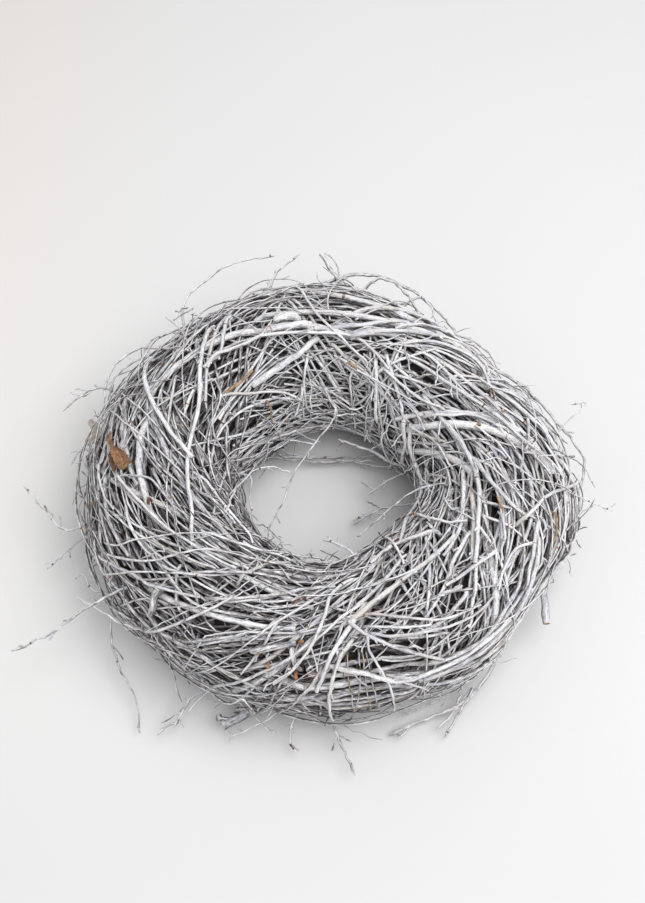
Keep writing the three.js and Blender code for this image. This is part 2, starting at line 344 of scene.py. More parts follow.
class StageSettings(bpy.types.PropertyGroup):
    camera_height: angle_property("Camera elevation", "Angle of the camera above the floor", 58)
    camera_distance: length_property(
        "Camera distance", "From the camera to the point it looks at", 1.1)
    lens: FloatProperty(
        name="Lens", description="Focal length on a sensor 36 mm on its long side",
        default=50, unit="CAMERA")
    softbox_power: FloatProperty(
        name="Softbox", description="Power of the large soft light overhead",
        default=38, unit="POWER")
    softbox_height: length_property(
        "Softbox height", "Height of the soft light above the floor", 1.9)
    fill_power: FloatProperty(
        name="Fill light", description="Power of the soft light from the left",
        default=1.5, unit="POWER")
    room_strength: FloatProperty(
        name="Room light", description="Strength of the even light from all round", default=0.585)


def shape():
    return bpy.context.scene.wreath_shape


def sizes():
    return bpy.context.scene.wreath_twigs


def colours():
    return bpy.context.scene.wreath_colours


def stage_settings():
    return bpy.context.scene.wreath_stage


# Places in the wreath

def ring_middle():
    low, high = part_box("hoop")
    middle = (low + high) / 2 - HOOP_LEAN
    return np.array((middle.x, middle.y, 0))


def waved(base, waves, angle):
    return base + sum(
        reach * np.cos(np.radians(lobes * (angle - at))) for lobes, reach, at in waves)


def ring_at(angle):
    return waved(shape().ring_radius, RING_WAVES, angle)


def bundle_at(angle):
    return waved(shape().bundle_radius, BUNDLE_WAVES, angle)


def out_at(turn):
    """How far the bundle's surface is from the middle of the hole."""
    return shape().ring_radius + shape().bundle_radius * np.cos(np.radians(turn))


def apart(angle, other):
    """The shorter way from the other angle to this one."""
    return (angle - other + 180) % ALL_ROUND - 180


def in_bundle(angle, turn, depth):
    """A place by angle, turn and depth. Towards the floor the depth shrinks to stay above it."""
    size = bundle_at(angle)
    down = -np.sin(np.radians(turn))
    full = shape().fullest_depth / shape().bundle_radius
    room = (size - shape().pressed_flat) / (full * size)
    share = np.minimum(room / np.maximum(down, TINY), 1.0)
    reach = depth * size / shape().bundle_radius * share
    out = ring_at(angle) + reach * np.cos(np.radians(turn))
    height = size - shape().pressed_flat + reach * np.sin(np.radians(turn))
    place = (out * np.cos(np.radians(angle)), out * np.sin(np.radians(angle)), height)
    return np.stack(place, axis=-1) + ring_middle()


def outwards_at(angle, turn):
    """The direction from the middle of the bundle, as unit vectors."""
    a, t = np.radians(angle), np.radians(turn)
    return np.stack((np.cos(t) * np.cos(a), np.cos(t) * np.sin(a), np.sin(t)), axis=-1)


def on_plan(angle, distance, height):
    """A place by angle, and by distance from the middle of the hole and height in millimetres."""
    a = math.radians(angle)
    out = distance / MM_IN_METRE
    place = np.array((out * math.cos(a), out * math.sin(a), height / MM_IN_METRE))
    return place + ring_middle()


def bunch_of(angle, depth):
    """Which bunch a place is in."""
    lead = math.degrees(shape().tip_lead) * depth / shape().bundle_radius
    start = math.degrees(shape().first_bunch)
    return (((angle - lead - start) // BUNCH_SPAN) % BUNCHES).astype(int)


def dent_at(angle, turn):
    """How much thinner the bundle is here than usual."""
    depth = 0
    for middle, across, deepest, wide, tall in DENTS:
        away = (apart(angle, middle) / wide) ** 2
        depth = depth + deepest * np.exp(-away - (apart(turn, across) / tall) ** 2)
    return depth


def unit(vectors):
    return vectors / np.maximum(np.linalg.norm(vectors, axis=-1, keepdims=True), TINY)


def eased(values, power=1.5):
    return np.clip(values, 0, 1) ** power


def off_floor(centres, radii):
    """The places of a twig, raised where it would reach into the floor."""
    centres[..., 2] = np.maximum(centres[..., 2], radii)
    return centres


def smooth_path(points, rings):
    """A curve through the points, in even steps."""
    points = np.asarray(points, float)
    padded = np.vstack((2 * points[0] - points[1], points, 2 * points[-1] - points[-2]))
    at = np.linspace(0, len(points) - 1, rings)
    span = np.minimum(at.astype(int), len(points) - 2)
    t = (at - span)[:, None]
    p0, p1, p2, p3 = (padded[span + k] for k in range(4))
    return 0.5 * (
        2 * p1 + (p2 - p0) * t + (2 * p0 - 5 * p1 + 4 * p2 - p3) * t**2
        + (3 * p1 - p0 - 3 * p2 + p3) * t**3
    )


# Twigs

@dataclass
class Twigs:
    """Twigs of one kind: their courses, thickness and finish, and the bunch that each grows in."""

    centres: np.ndarray
    radii: np.ndarray
    up: np.ndarray
    paint: np.ndarray
    tone: np.ndarray
    scab: np.ndarray
    owner: np.ndarray
    sides: int
    capped: bool = True

    def ahead(self):
        return unit(np.gradient(self.centres, axis=1))


def twig_radii(random, count, rings, thickness, thin=0.5, knots=0.3):
    """Radii, thinner towards the tip and swollen at nodes, and where the scabs are."""
    share = np.linspace(0, 1, rings)
    root = thickness / 2 * np.exp(random.normal(0, ROOT_SPREAD, (count, 1)))
    radii = root * (1 - (1 - thin) * share)
    knot = random.random((count, rings)) < knots
    knot[:, 1:] &= ~knot[:, :-1]
    radii = radii * (1 + knot * random.uniform(*KNOT_SWELLING, (count, rings)))
    radii *= random.uniform(*UNEVENNESS, (count, rings))
    scab = knot * (random.random((count, rings)) < SCAB_SHARE)
    return radii, scab.astype(float)


def wander(random, angle, turn, heading, length, rings, straightness, bend, kink):
    """Ways over the bundle from a start. A twig runs on straight as far as it can."""
    step = (length / (rings - 1))[:, None]
    depth = shape().bundle_radius
    angle, turn, heading = (np.radians(value)[:, None] for value in (angle, turn, heading))
    track = [(angle, turn)]
    for _ in range(rings - 1):
        out = shape().ring_radius + depth * np.cos(turn)
        swerve = -straightness * np.sin(turn) * np.cos(heading) / out + bend
        kinks = random.standard_t(2, heading.shape).clip(-KINK_LIMIT, KINK_LIMIT)
        heading = heading + swerve * step + kink * kinks
        angle = angle + np.cos(heading) * step / out
        turn = turn + np.sin(heading) * step / depth
        track.append((angle, turn))
    return [np.degrees(np.hstack(way)) for way in zip(*track)]


def pile_cell(angle, turn):
    """The row and column of the pile's cell at a place."""
    rows = (angle / ALL_ROUND * PILE_CELLS_ROUND).astype(int) % PILE_CELLS_ROUND
    columns = (turn / ALL_ROUND * PILE_CELLS_ACROSS).astype(int) % PILE_CELLS_ACROSS
    return rows, columns


class Pile:
    """How far out the twigs reach so far, at every place round and across the bundle."""

    latest = None
    wire = None

    def __init__(self, depth):
        self.reach = np.full((PILE_CELLS_ROUND, PILE_CELLS_ACROSS), depth)
        Pile.latest = self

    def hold_clear(self, angles, turns, height):
        """Raises the reach of a patch, so that no twig is laid over it, or lowers it again."""
        rows = slice(*(int(angle / ALL_ROUND * PILE_CELLS_ROUND) for angle in angles))
        columns = np.arange(*(int(turn / ALL_ROUND * PILE_CELLS_ACROSS) for turn in turns))
        self.reach[rows, columns] += height

    def cells(self, angle, turn, radius):
        """The cells below a twig's middle line and below its sides."""
        round_side = np.degrees(radius / out_at(turn)) * PILE_SIDES[:, None]
        across_side = np.degrees(radius / shape().bundle_radius) * PILE_SIDES[:, None]
        angles = np.concatenate((angle + round_side, angle + 0 * across_side))
        turns = np.concatenate((turn + 0 * round_side, turn + across_side))
        return pile_cell(angles, turns)

    def lay(self, angle, turn, radius, stiffness, rise, press, highest, forced=False):
        """Lays a twig on what is below it and returns its depth at each ring, with the rise added.

        Where there is no room for it below the highest depth, it is pressed in if it is forced,
        and otherwise it isn't laid."""
        rings = len(angle)
        ring = np.arange(rings)
        fine = np.linspace(0, rings - 1, (rings - 1) * PILE_STEPS + 1)
        rows, columns = self.cells(*(np.interp(fine, ring, way) for way in (angle, turn, radius)))
        below = self.reach[rows, columns].max(axis=0)
        between = below[:-1].reshape(rings - 1, PILE_STEPS).max(axis=1)
        spans = np.maximum(between, below[PILE_STEPS::PILE_STEPS])
        depth = np.maximum(np.append(spans, spans[-1]), np.insert(spans, 0, spans[0]))
        for _ in range(stiffness):
            depth[1:-1] = np.maximum(depth[1:-1], (depth[:-2] + depth[2:]) / 2)
        depth += radius * press
        highest = highest - dent_at(angle, turn)
        if not forced and np.maximum(depth - highest, 0).mean() > PILE_GIVE:
            return None
        depth = np.minimum(depth, highest) + rise
        top = np.interp(fine, ring, depth + radius * PILE_TOP_OF_TWIG)
        np.maximum.at(self.reach, (rows, columns), top)
        return depth


def pile_so_far():
    """The pile that the bunches left, which the wire and the splinters lie on."""
    if Pile.latest is None:
        raise RuntimeError("Lay the bunches first")
    return Pile.latest


def laid(random, pile, angles, turns, radii, scab, *, paint, sides, stiffness, rise, press, highest,
         wanted=None):
    """Lays twigs on the pile one by one, the last on top, until there are as many as wanted."""
    forced = wanted is None
    kept, depths, left = [], [], range(len(angles))
    for below in (0,) if forced else PILE_ROUNDS:
        tried, left = left, []
        for k in tried:
            depth = None
            if len(kept) != wanted:
                depth = pile.lay(
                    angles[k], turns[k], radii[k], stiffness, rise[k], press, highest - below,
                    forced)
            if depth is None:
                left.append(k)
            else:
                kept.append(k)
                depths.append(depth)
    angles, turns, radii, scab = (values[kept] for values in (angles, turns, radii, scab))
    depths = np.array(depths)
    centres = off_floor(in_bundle(angles, turns, depths), radii)
    # More wash towards one side and less at the other: partly a thicker wash, partly painted light
    # and shade.
    wash_and_light_lean = WASH_AND_LIGHT_LEAN * np.cos(np.radians(angles.mean(axis=1) - WASH_AND_LIGHT_SIDE))
    return Twigs(
        centres, radii, outwards_at(angles, turns), random.uniform(*paint, len(kept)) + wash_and_light_lean,
        random.random(len(kept)), scab, bunch_of(angles[:, 0], depths[:, 0]), sides)


def start_places(random, count, turns, pile, hollow):
    """Starts over the bundle where the pile is lower than the hollow, fewer towards the hole."""
    tries = START_TRIES * count
    angle, turn = random.uniform(0, ALL_ROUND, tries), random.uniform(*turns, tries)
    share = shape().bundle_radius / shape().ring_radius
    kept = random.random(tries) < (1 + share * np.cos(np.radians(turn))) / (1 + share)
    kept &= pile.reach[pile_cell(angle, turn)] < hollow
    return angle[kept][:count], turn[kept][:count]


def leading_lay():
    """Places along the leading twigs, and which way each twig runs there."""
    places, headings = [], []
    for _, listed in LEADING_TWIGS:
        way = smooth_path(listed, LAY_STEPS)
        run = np.gradient(way, axis=0)
        places.append(way)
        headings.append(np.degrees(np.arctan2(
            run[:, 1] * shape().bundle_radius, run[:, 0] * out_at(way[:, 1]))))
    return np.concatenate(places), np.concatenate(headings)


def heading_near(random, angle, turn, slant):
    """Headings that follow the nearest leading twig, and run along the ring where there is none."""
    places, headings = leading_lay()
    ahead = np.radians(apart(places[:, 0], angle[:, None])) * out_at(turn)[:, None]
    across = np.radians(apart(places[:, 1], turn[:, None])) * shape().bundle_radius
    away = np.hypot(ahead, across)
    nearest = away.argmin(axis=1)
    near = away[np.arange(len(angle)), nearest] < LAY_REACH
    calm = 1 - CALMNESS * eased(np.cos(np.radians(angle - CALM_SIDE)), 2)
    along = random.normal(0, slant, len(angle)) * calm
    return np.where(near, headings[nearest] + FOLLOWING_SLANT * along, along)


def spray_starts(random, pile, count, size, slant, reversed_share, turns, gap, hollow):
    """Starts of twigs that lie in sprays, nearly parallel, and the bend that they share."""
    angle, turn = start_places(random, math.ceil(count / size), turns, pile, hollow)
    sprays = len(angle)
    count = sprays * size
    heading = heading_near(random, angle, turn, slant)
    heading = heading + 180 * (random.random(sprays) < reversed_share)
    bend = random.normal(0, SPRAY_BEND, sprays)
    member = np.repeat(np.arange(sprays), size)
    course = np.radians(heading[member])
    along = random.normal(0, SPRAY_LENGTH, count)
    rank = np.arange(count) % size - (size - 1) / 2
    aside = (rank + random.normal(0, SPRAY_SHIFT, count)) * gap
    ahead = (along * np.cos(course) - aside * np.sin(course)) / out_at(turn[member])
    across = (along * np.sin(course) + aside * np.cos(course)) / shape().bundle_radius
    return (
        angle[member] + np.degrees(ahead), turn[member] + np.degrees(across),
        heading[member] + random.normal(0, SPRAY_FAN, count),
        (bend[member] + random.normal(0, MEMBER_BEND, count))[:, None])


def twig_layer(random, pile, per_bunch, thickness, *, length, rings, sides, slant, reversed_share,
               straightness, paint, stiffness, tuck, below_top, lift=0.0, arch=0.0, spray=6,
               press=0.8, thin=0.5, kink=0.03, turns=(0, ALL_ROUND), gap_below=-math.inf):
    """One layer of like twigs over the whole bundle, or in the gaps that are deep enough."""
    wanted = per_bunch * BUNCHES
    full = shape().fullest_depth
    angle, turn, heading, bend = spray_starts(
        random, pile, TRIES * wanted, spray, slant, reversed_share, turns, SPRAY_GAP * thickness,
        full - gap_below)
    count = len(angle)
    narrow = np.clip(1 + SHORTER_INSIDE * np.cos(np.radians(turn)), *SHORTEST_TO_LONGEST)
    spans = length * narrow * np.exp(random.normal(0, LENGTH_SPREAD, count))
    straight = random.uniform(*straightness, (count, 1))
    angles, turns = wander(random, angle, turn, heading, spans, rings, straight, bend, kink)
    radii, scab = twig_radii(random, count, rings, thickness, thin)
    share = np.linspace(0, 1, rings)
    near_tip = (share - (1 - TIP_SHARE)) / TIP_SHARE
    lifting = (share - (1 - LIFT_SHARE)) / LIFT_SHARE
    rise = (
        -tuck * random.random((count, 1)) * eased(1 - share / ROOT_SHARE)
        - tuck * (random.random((count, 1)) < TIP_TUCKED) * eased(near_tip)
        + lift * random.random((count, 1)) ** 2 * eased(lifting, 1.6)
        + arch * random.uniform(*ARCHES, (count, 1)) * np.sin(np.pi * share) ** 1.5
    )
    return laid(random, pile, angles, turns, radii, scab, paint=paint, sides=sides,
                stiffness=stiffness, rise=rise, press=press, highest=full - below_top,
                wanted=wanted)


def side_shoots(random, parents, count, length, thickness, rings=6, climbs=(-10, 45)):
    """Short shoots that leave their twigs at the nodes and end in a small bud."""
    twig = random.integers(0, len(parents.radii), count)
    ring = random.integers(FIRST_SHOOT_RING, parents.radii.shape[1] - 1, count)
    ahead = parents.ahead()[twig, ring]
    up = parents.up[twig, ring]
    across = unit(np.cross(ahead, up)) * random.choice((-1.0, 1.0), (count, 1))
    fork = np.radians(random.uniform(*SHOOT_FORKS, (count, 1)))
    climb = np.radians(random.uniform(*climbs, (count, 1)))
    leaving = np.cos(fork) * ahead + np.sin(fork) * (np.cos(climb) * across + np.sin(climb) * up)
    spread = random.normal(0, SHOOT_SPREAD, (count, 1, 1)).clip(*SHOOT_LIMITS)
    reach = length * np.exp(spread)
    share = np.linspace(0, 1, rings)[None, :, None]
    bend = SHOOT_BEND * share**2 * random.normal(*SHOOT_BENDS, (count, 1, 1))
    way = share * leaving[:, None] + bend * ahead[:, None]
    way = way + random.normal(0, SHOOT_CROOKEDNESS, (count, rings, 3)) * share
    centres = parents.centres[twig, ring][:, None] + reach * way
    root = np.minimum(parents.radii[twig, ring] * SHOOT_ROOT, thickness / 2)[:, None]
    profile = np.linspace(1, SHOOT_TAPER, rings)
    profile[-2:] = SHOOT_BUD
    radii = root * profile * np.exp(random.normal(0, SHOOT_UNEVENNESS, (count, rings)))
    scab = np.zeros((count, rings))
    scab[:, -1] = random.random(count) < SHOOT_SCABS
    return Twigs(
        off_floor(centres, radii), radii, np.repeat(up[:, None], rings, axis=1),
        parents.paint[twig], random.random(count), scab, parents.owner[twig], SHOOT_SIDES,
        capped=False)


# Twigs that stand out clearly: how thick each is in millimetres, and the places it passes, by
# angle and turn. Its last place is its free end.
LEFT_TWIGS = (
    (5.3, ((169, 77), (187, 78), (198, 78), (202, 77))),
    (1.5, ((155, 26), (169, 80), (184, 110))),
    (1.7, ((156, 28), (169, 60), (180, 80), (199, 108))),
    (1.5, ((162, 24), (167, 49), (180, 88), (194, 111))),
    (2.2, ((148, 79), (160, 88), (170, 94))),
    (1.5, ((142, 102), (153, 119), (195, 131))),
    (2.2, ((171, 40), (179, 41), (189, 47), (195, 50))),
    (3.4, ((178, 45), (189, 47), (200, 44), (208, 44))),
    (1.9, ((186, 53), (191, 82), (196, 89), (204, 93))),
    (2.2, ((195, 60), (207, 60), (218, 63), (231, 60), (242, 68))),
    (2.2, ((208, 65), (217, 76), (230, 88))),
    (2.2, ((216, 62), (224, 71), (236, 94))),
    (2.2, ((188, 115), (198, 121), (220, 126))),
    (2.6, ((220, 74), (227, 53), (232, 46))),
    (2.2, ((225, 16), (232, 9), (239, -3))),
    (2.2, ((230, 27), (235, 29), (242, 38))),
    (2.2, ((235, 36), (241, 47), (248, 61))),
)
FRONT_TWIGS = (
    (2.2, ((273, 108), (263, 93), (255, 75), (250, 59))),
    (2.1, ((255, 75), (253, 57), (249, 28))),
    (2.2, ((282, 90), (273, 80), (266, 65))),
    (2.1, ((268, 45), (264, 25), (258, -12))),
    (2.6, ((236, 71), (250, 90), (261, 104), (272, 108))),
    (2.1, ((280, 82), (290, 71), (300, 59), (311, 52))),
    (2.1, ((280, 72), (289, 65), (297, 58))),
    (2.2, ((280, 67), (287, 60), (295, 55), (306, 49), (315, 51))),
    (2.6, ((276, 85), (286, 97), (296, 106), (305, 114))),
    (2.6, ((317, 121), (309, 103), (301, 79), (297, 65))),
    (2.6, ((313, 87), (305, 75), (298, 66), (293, 57))),
    (2.8, ((321, 84), (312, 62), (306, 42))),
    (3.3, ((311, 65), (304, 58), (297, 56), (290, 57))),
    (2.2, ((303, 73), (308, 70), (311, 69))),
    (3.1, ((329, 39), (318, 35), (307, 28), (299, 28))),
)
RIGHT_TWIGS = (
    (3.1, ((-7, 122), (-25, 111), (-36, 101), (-47, 96))),
    (3.6, ((-18, 111), (-35, 92), (-43, 79))),
    (1.5, ((-20, 132), (-29, 117), (-32, 95))),
    (2.4, ((16, 53), (8, 64), (0, 74))),
    (1.7, ((14, 105), (6, 96), (-4, 84))),
    (2.6, ((12, 91), (6, 80), (-4, 63))),
    (1.7, ((0, 74), (-5, 60), (-8, 45))),
    (2.1, ((-27, 55), (-32, 63), (-39, 60), (-43, 52))),
    (2.1, ((-27, 97), (-31, 85), (-40, 63))),
    (2.1, ((-24, 86), (-32, 73), (-37, 65))),
    (3.6, ((-20, 59), (-25, 56), (-32, 46), (-39, 34))),
    (1.9, ((-19, 61), (-25, 46), (-29, 31))),
    (2.4, ((62, 94), (47, 67), (38, 58), (30, 67), (22, 78))),
    (2.2, ((56, 91), (46, 89), (32, 92), (18, 90), (8, 80))),
    (2.2, ((65, 120), (52, 123), (37, 121), (26, 114))),
    (1.5, ((50, 111), (44, 101), (42, 89))),
    (3.3, ((41, 118), (32, 119), (22, 120), (9, 121))),
    (1.5, ((48, 133), (38, 132), (23, 136))),
)
TOP_TWIGS = (
    (5.2, ((64, 87), (81, 106), (92, 104), (103, 99), (113, 99))),
    (3.3, ((81, 108), (64, 87), (52, 65), (45, 43), (40, 31))),
    (3.8, ((102, 105), (86, 103), (73, 90), (63, 72))),
    (5.3, ((132, 126), (116, 125), (104, 121), (95, 111))),
    (2.2, ((100, 122), (105, 141), (106, 159), (103, 168))),
    (2.1, ((106, 144), (112, 157), (118, 166))),
    (2.2, ((148, 116), (137, 129), (121, 141), (109, 153))),
    (2.9, ((90, 114), (80, 126), (68, 132))),
    (1.5, ((101, 142), (93, 154), (85, 167), (85, 182))),
    (1.5, ((86, 161), (78, 164), (68, 160), (64, 140))),
    (3.1, ((69, 115), (63, 135), (56, 167))),
    (3.1, ((65, 109), (53, 128), (39, 144))),
    (2.2, ((78, 107), (68, 114), (60, 119))),
)
INNER_TWIGS = (
    (2.4, ((189, 120), (198, 126), (208, 130), (220, 132), (231, 128))),
    (2.1, ((193, 108), (199, 116), (206, 122), (219, 128))),
    (2.4, ((215, 100), (226, 113), (240, 129), (256, 132))),
    (2.2, ((217, 86), (226, 97), (239, 102))),
    (2.8, ((238, 91), (240, 102), (246, 125), (262, 146), (282, 150))),
    (2.2, ((225, 75), (236, 94), (249, 107), (266, 112))),
    (2.4, ((232, 66), (245, 84), (256, 97))),
    (2.1, ((156, 131), (171, 142), (192, 151))),
    (1.9, ((212, 126), (200, 144), (177, 171))),
    (2.6, ((167, 168), (148, 170), (121, 180), (87, 195))),
    (3.6, ((40, 141), (33, 154), (27, 166), (25, 200))),
    (3.6, ((35, 145), (10, 169), (-27, 160), (-54, 132))),
    (1.9, ((35, 145), (15, 136), (-4, 131))),
    (2.2, ((-34, 150), (-38, 118), (-33, 99))),
    (3.6, ((-40, 112), (-45, 114), (-56, 124), (-71, 124))),
    (3.1, ((-35, 94), (-46, 88), (-51, 80))),
)

# These cross over all the others.
TOPMOST_TWIGS = (
    (3.4, ((128, 64), (142, 88), (165, 111), (202, 105), (218, 90))),
    (2.9, ((121, 64), (132, 88), (143, 95))),
    (3.6, ((144, 31), (152, 51), (165, 81), (175, 100), (184, 114))),
    (2.2, ((185, 58), (195, 70), (205, 78), (220, 89), (235, 98))),
    (2.4, ((195, 2), (208, 33), (220, 50), (232, 66))),
    (2.6, ((212, -6), (219, 0), (226, 23), (232, 48), (240, 78))),
    (2.4, ((239, -15), (247, 16), (257, 45), (265, 64))),
    (2.6, ((282, 118), (271, 100), (268, 82), (264, 58), (257, 29))),
    (3.6, ((281, 87), (274, 69), (270, 53), (267, 27))),
    (2.6, ((278, 70), (272, 51), (270, 27), (270, 12), (271, -12))),
    (2.9, ((273, 82), (280, 66), (288, 50), (297, 32))),
    (3.6, ((270, 46), (278, 41), (285, 30), (292, 27), (301, 27), (315, 33))),
    (1.9, ((280, 69), (280, 56), (282, 41), (284, 17), (285, -12))),
    (3.8, ((274, 76), (280, 82), (288, 90), (299, 95), (308, 97), (320, 99))),
    (2.9, ((325, 72), (314, 75), (306, 76))),
    (3.6, ((24, 121), (6, 118), (-12, 110), (-31, 95), (-44, 76))),
    (3.1, ((-2, 114), (-13, 101), (-20, 83), (-22, 70))),
    (2.8, ((-25, 71), (-21, 68), (-12, 55), (-1, 17))),
    (2.2, ((32, 133), (22, 115), (17, 98), (7, 86))),
    (2.9, ((143, 92), (133, 94), (118, 101), (98, 108), (81, 108))),
    (2.1, ((101, 40), (95, 90), (83, 112), (71, 123))),
    (2.2, ((-56, 150), (-57, 138), (-59, 118), (-61, 104))),
    (2.6, ((57, 101), (40, 98), (25, 93), (11, 84), (2, 72), (-5, 43))),
)

# Rods along the outside, with both ends tucked in.
RIM_RODS = (
    (3.4, ((33, 44), (27, 30), (21, 28), (15, 26), (9, 23), (3, 20))),
    (3.0, ((29, 55), (22, 40), (15, 31), (9, 27), (3, 25))),
    (3.0, ((66, 83), (58, 68), (52, 50), (47, 33), (41, 30), (33, 46))),
    (2.8, ((64, 95), (54, 78), (46, 62), (38, 58), (30, 63))),
    (2.8, ((50, 85), (38, 84), (26, 82), (16, 77), (7, 71))),
    (3.4, ((4, 39), (-1, 24), (-7, 11), (-13, 7), (-18, 10))),
    (2.8, ((5, 21), (-1, 17), (-8, 8), (-15, 3))),
    (4.2, ((291, 17), (304, 20), (312, 25), (320, 34), (328, 45), (338, 60))),
    (3.4, ((288, 32), (300, 30), (309, 33), (318, 41), (328, 50))),
    (3.6, ((298, 8), (313, 15), (324, 17), (334, 15), (345, 8))),
    (3.0, ((292, 4), (306, 1), (316, 3), (329, 9))),
    (3.0, ((120, 30), (132, 22), (145, 20), (156, 26))),
    (3.0, ((200, 10), (212, 14), (224, 12), (236, 4))),
    (3.4, ((222, 22), (234, 26), (246, 24), (257, 16))),
)
BURIED_TWIGS = LEFT_TWIGS + FRONT_TWIGS + RIGHT_TWIGS + TOP_TWIGS + INNER_TWIGS
LEADING_TWIGS = BURIED_TWIGS + TOPMOST_TWIGS + RIM_RODS

# Short, straight stubs of rods. Their last place is the cut end that shows.
STUBS = (
    (5.8, ((221, 52), (222, 45), (223, 38), (223, 31))),
    (5.0, ((250, 48), (253, 53), (257, 58), (261, 62))),
    (6.4, ((97, 101), (104, 101), (110, 99), (116, 98))),
    (7.4, ((102, 94), (105, 93), (108, 92), (110, 92))),
    (4.0, ((260, 58), (261, 51), (262, 44), (263, 37))),
)

# Thick rods that the winding goes over.
RODS_BELOW_WIRE = (
    (5.8, ((256, 8), (264, 18), (272, 21), (280, 22), (290, 17))),
    (5.6, ((258, 26), (266, 29), (274, 30), (283, 28), (293, 21))),
    (4.0, ((264, 38), (271, 38), (279, 37), (290, 32))),
    (3.4, ((268, 46), (275, 46), (283, 44), (293, 39))),
    (3.2, ((265, 13), (273, 14), (282, 13), (292, 8))),
    (3.0, ((267, 3), (276, 4), (285, 2), (294, -2))),
)

# Bare wood that catches the eye: how thick, and the places it passes.
TAN_SPLINTERS = (
    (2.6, ((146, 117), (140, 118), (134, 118), (129, 117))),
    (2.2, ((80, 127), (77, 129), (75, 130))),
    (1.6, ((131, 141), (133, 150), (134, 157))),
    (1.8, ((-15, 48), (-19, 45), (-23, 40))),
    (1.8, ((-24, 84), (-22, 88), (-20, 91))),
)
RED_SCABS = (
    (2.8, ((-59, 124), (-57, 125), (-55, 125))),
    (2.4, ((26, 74), (23, 76), (20, 78))),
    (2.4, ((198, 80), (199, 79), (200, 78))),
    (2.2, ((262, 95), (260, 92), (258, 90))),
)
ORANGE_ENDS = (
    (3.0, ((262.1, 63.2), (262.5, 63.5), (262.9, 63.8))),
    (2.7, ((261.7, 38.5), (262, 38), (262.3, 37.5))),
    (2.6, ((257.7, 45.5), (258, 46), (258.3, 46.5))),
    (2.4, ((252.1, 50.2), (252.4, 50.5), (252.7, 50.8))),
    (2.2, ((254.9, 42.5), (255.2, 42), (255.5, 41.5))),
    (2.2, ((260.1, 43.5), (260.4, 44), (260.7, 44.5))),
    (2.5, ((35.7, 65.5), (35.3, 65), (34.9, 64.5))),
    (2.5, ((16.3, 76.5), (16, 77), (15.7, 77.5))),
    (2.2, ((12.3, 100.5), (12, 100), (11.7, 99.5))),
    (2.1, ((18.7, 67.5), (18.4, 67), (18.1, 66.5))),
    (2.0, ((322.4, 137.5), (322.7, 138), (323, 138.5))),
    (2.0, ((189.3, 30.5), (189.6, 30), (189.9, 29.5))),
)


def run_length(ways):
    """How long ways over the bundle are, from their angles and turns."""
    steps = np.radians(np.diff(ways, axis=1))
    ahead = steps[..., 0] * out_at(ways[..., 1])[:, 1:]
    return np.hypot(ahead, steps[..., 1] * shape().bundle_radius).sum(axis=1)


def placed_twigs(random, pile, listed, *, lift=0.0, rings=26, paint=(0.7, 1.0), root_tuck=0.006,
                 tip_tuck=0.0):
    """Twigs that run through places chosen one by one."""
    count = len(listed)
    ways = np.array([smooth_path(places, rings) for _, places in listed])
    radii, scab = twig_radii(random, count, rings, 1.0, thin=PLACED_TAPER, knots=PLACED_KNOTS)
    thickness = np.array([thick for thick, _ in listed])[:, None] / MM_IN_METRE
    radii = thickness * radii / radii.mean(axis=1, keepdims=True) / 2
    share = np.linspace(0, 1, rings)
    near_tip = share / PLACED_END - (1 / PLACED_END - 1)
    rise = -root_tuck * eased(1 - share / PLACED_END) - tip_tuck * eased(near_tip)
    rise = np.tile(rise, (count, 1))
    crooked = np.cumsum(random.normal(0, 1, (count, rings, 2)), axis=1)
    crooked -= np.linspace(crooked[:, 0], crooked[:, -1], rings, axis=1)
    crooked *= (run_length(ways) / CROOKED_LENGTH)[:, None, None].clip(0, 1)
    angles, turns = (ways[..., k] + CROOKEDNESS[k] * crooked[..., k] for k in range(2))
    return laid(random, pile, angles, turns, radii, scab, paint=paint, sides=PLACED_SIDES,
                stiffness=PLACED_STIFFNESS, rise=rise, press=PLACED_PRESS,
                highest=shape().fullest_depth + lift)


@dataclass
class Branch:
    """A twig that stands free. Its radius is in millimetres and its places are as for on_plan."""

    name: str
    radius: float
    places: tuple
    forks: tuple = ()
    shoots: int = 4
    roots: int = 1
    paint: tuple = (0.55, 0.95)


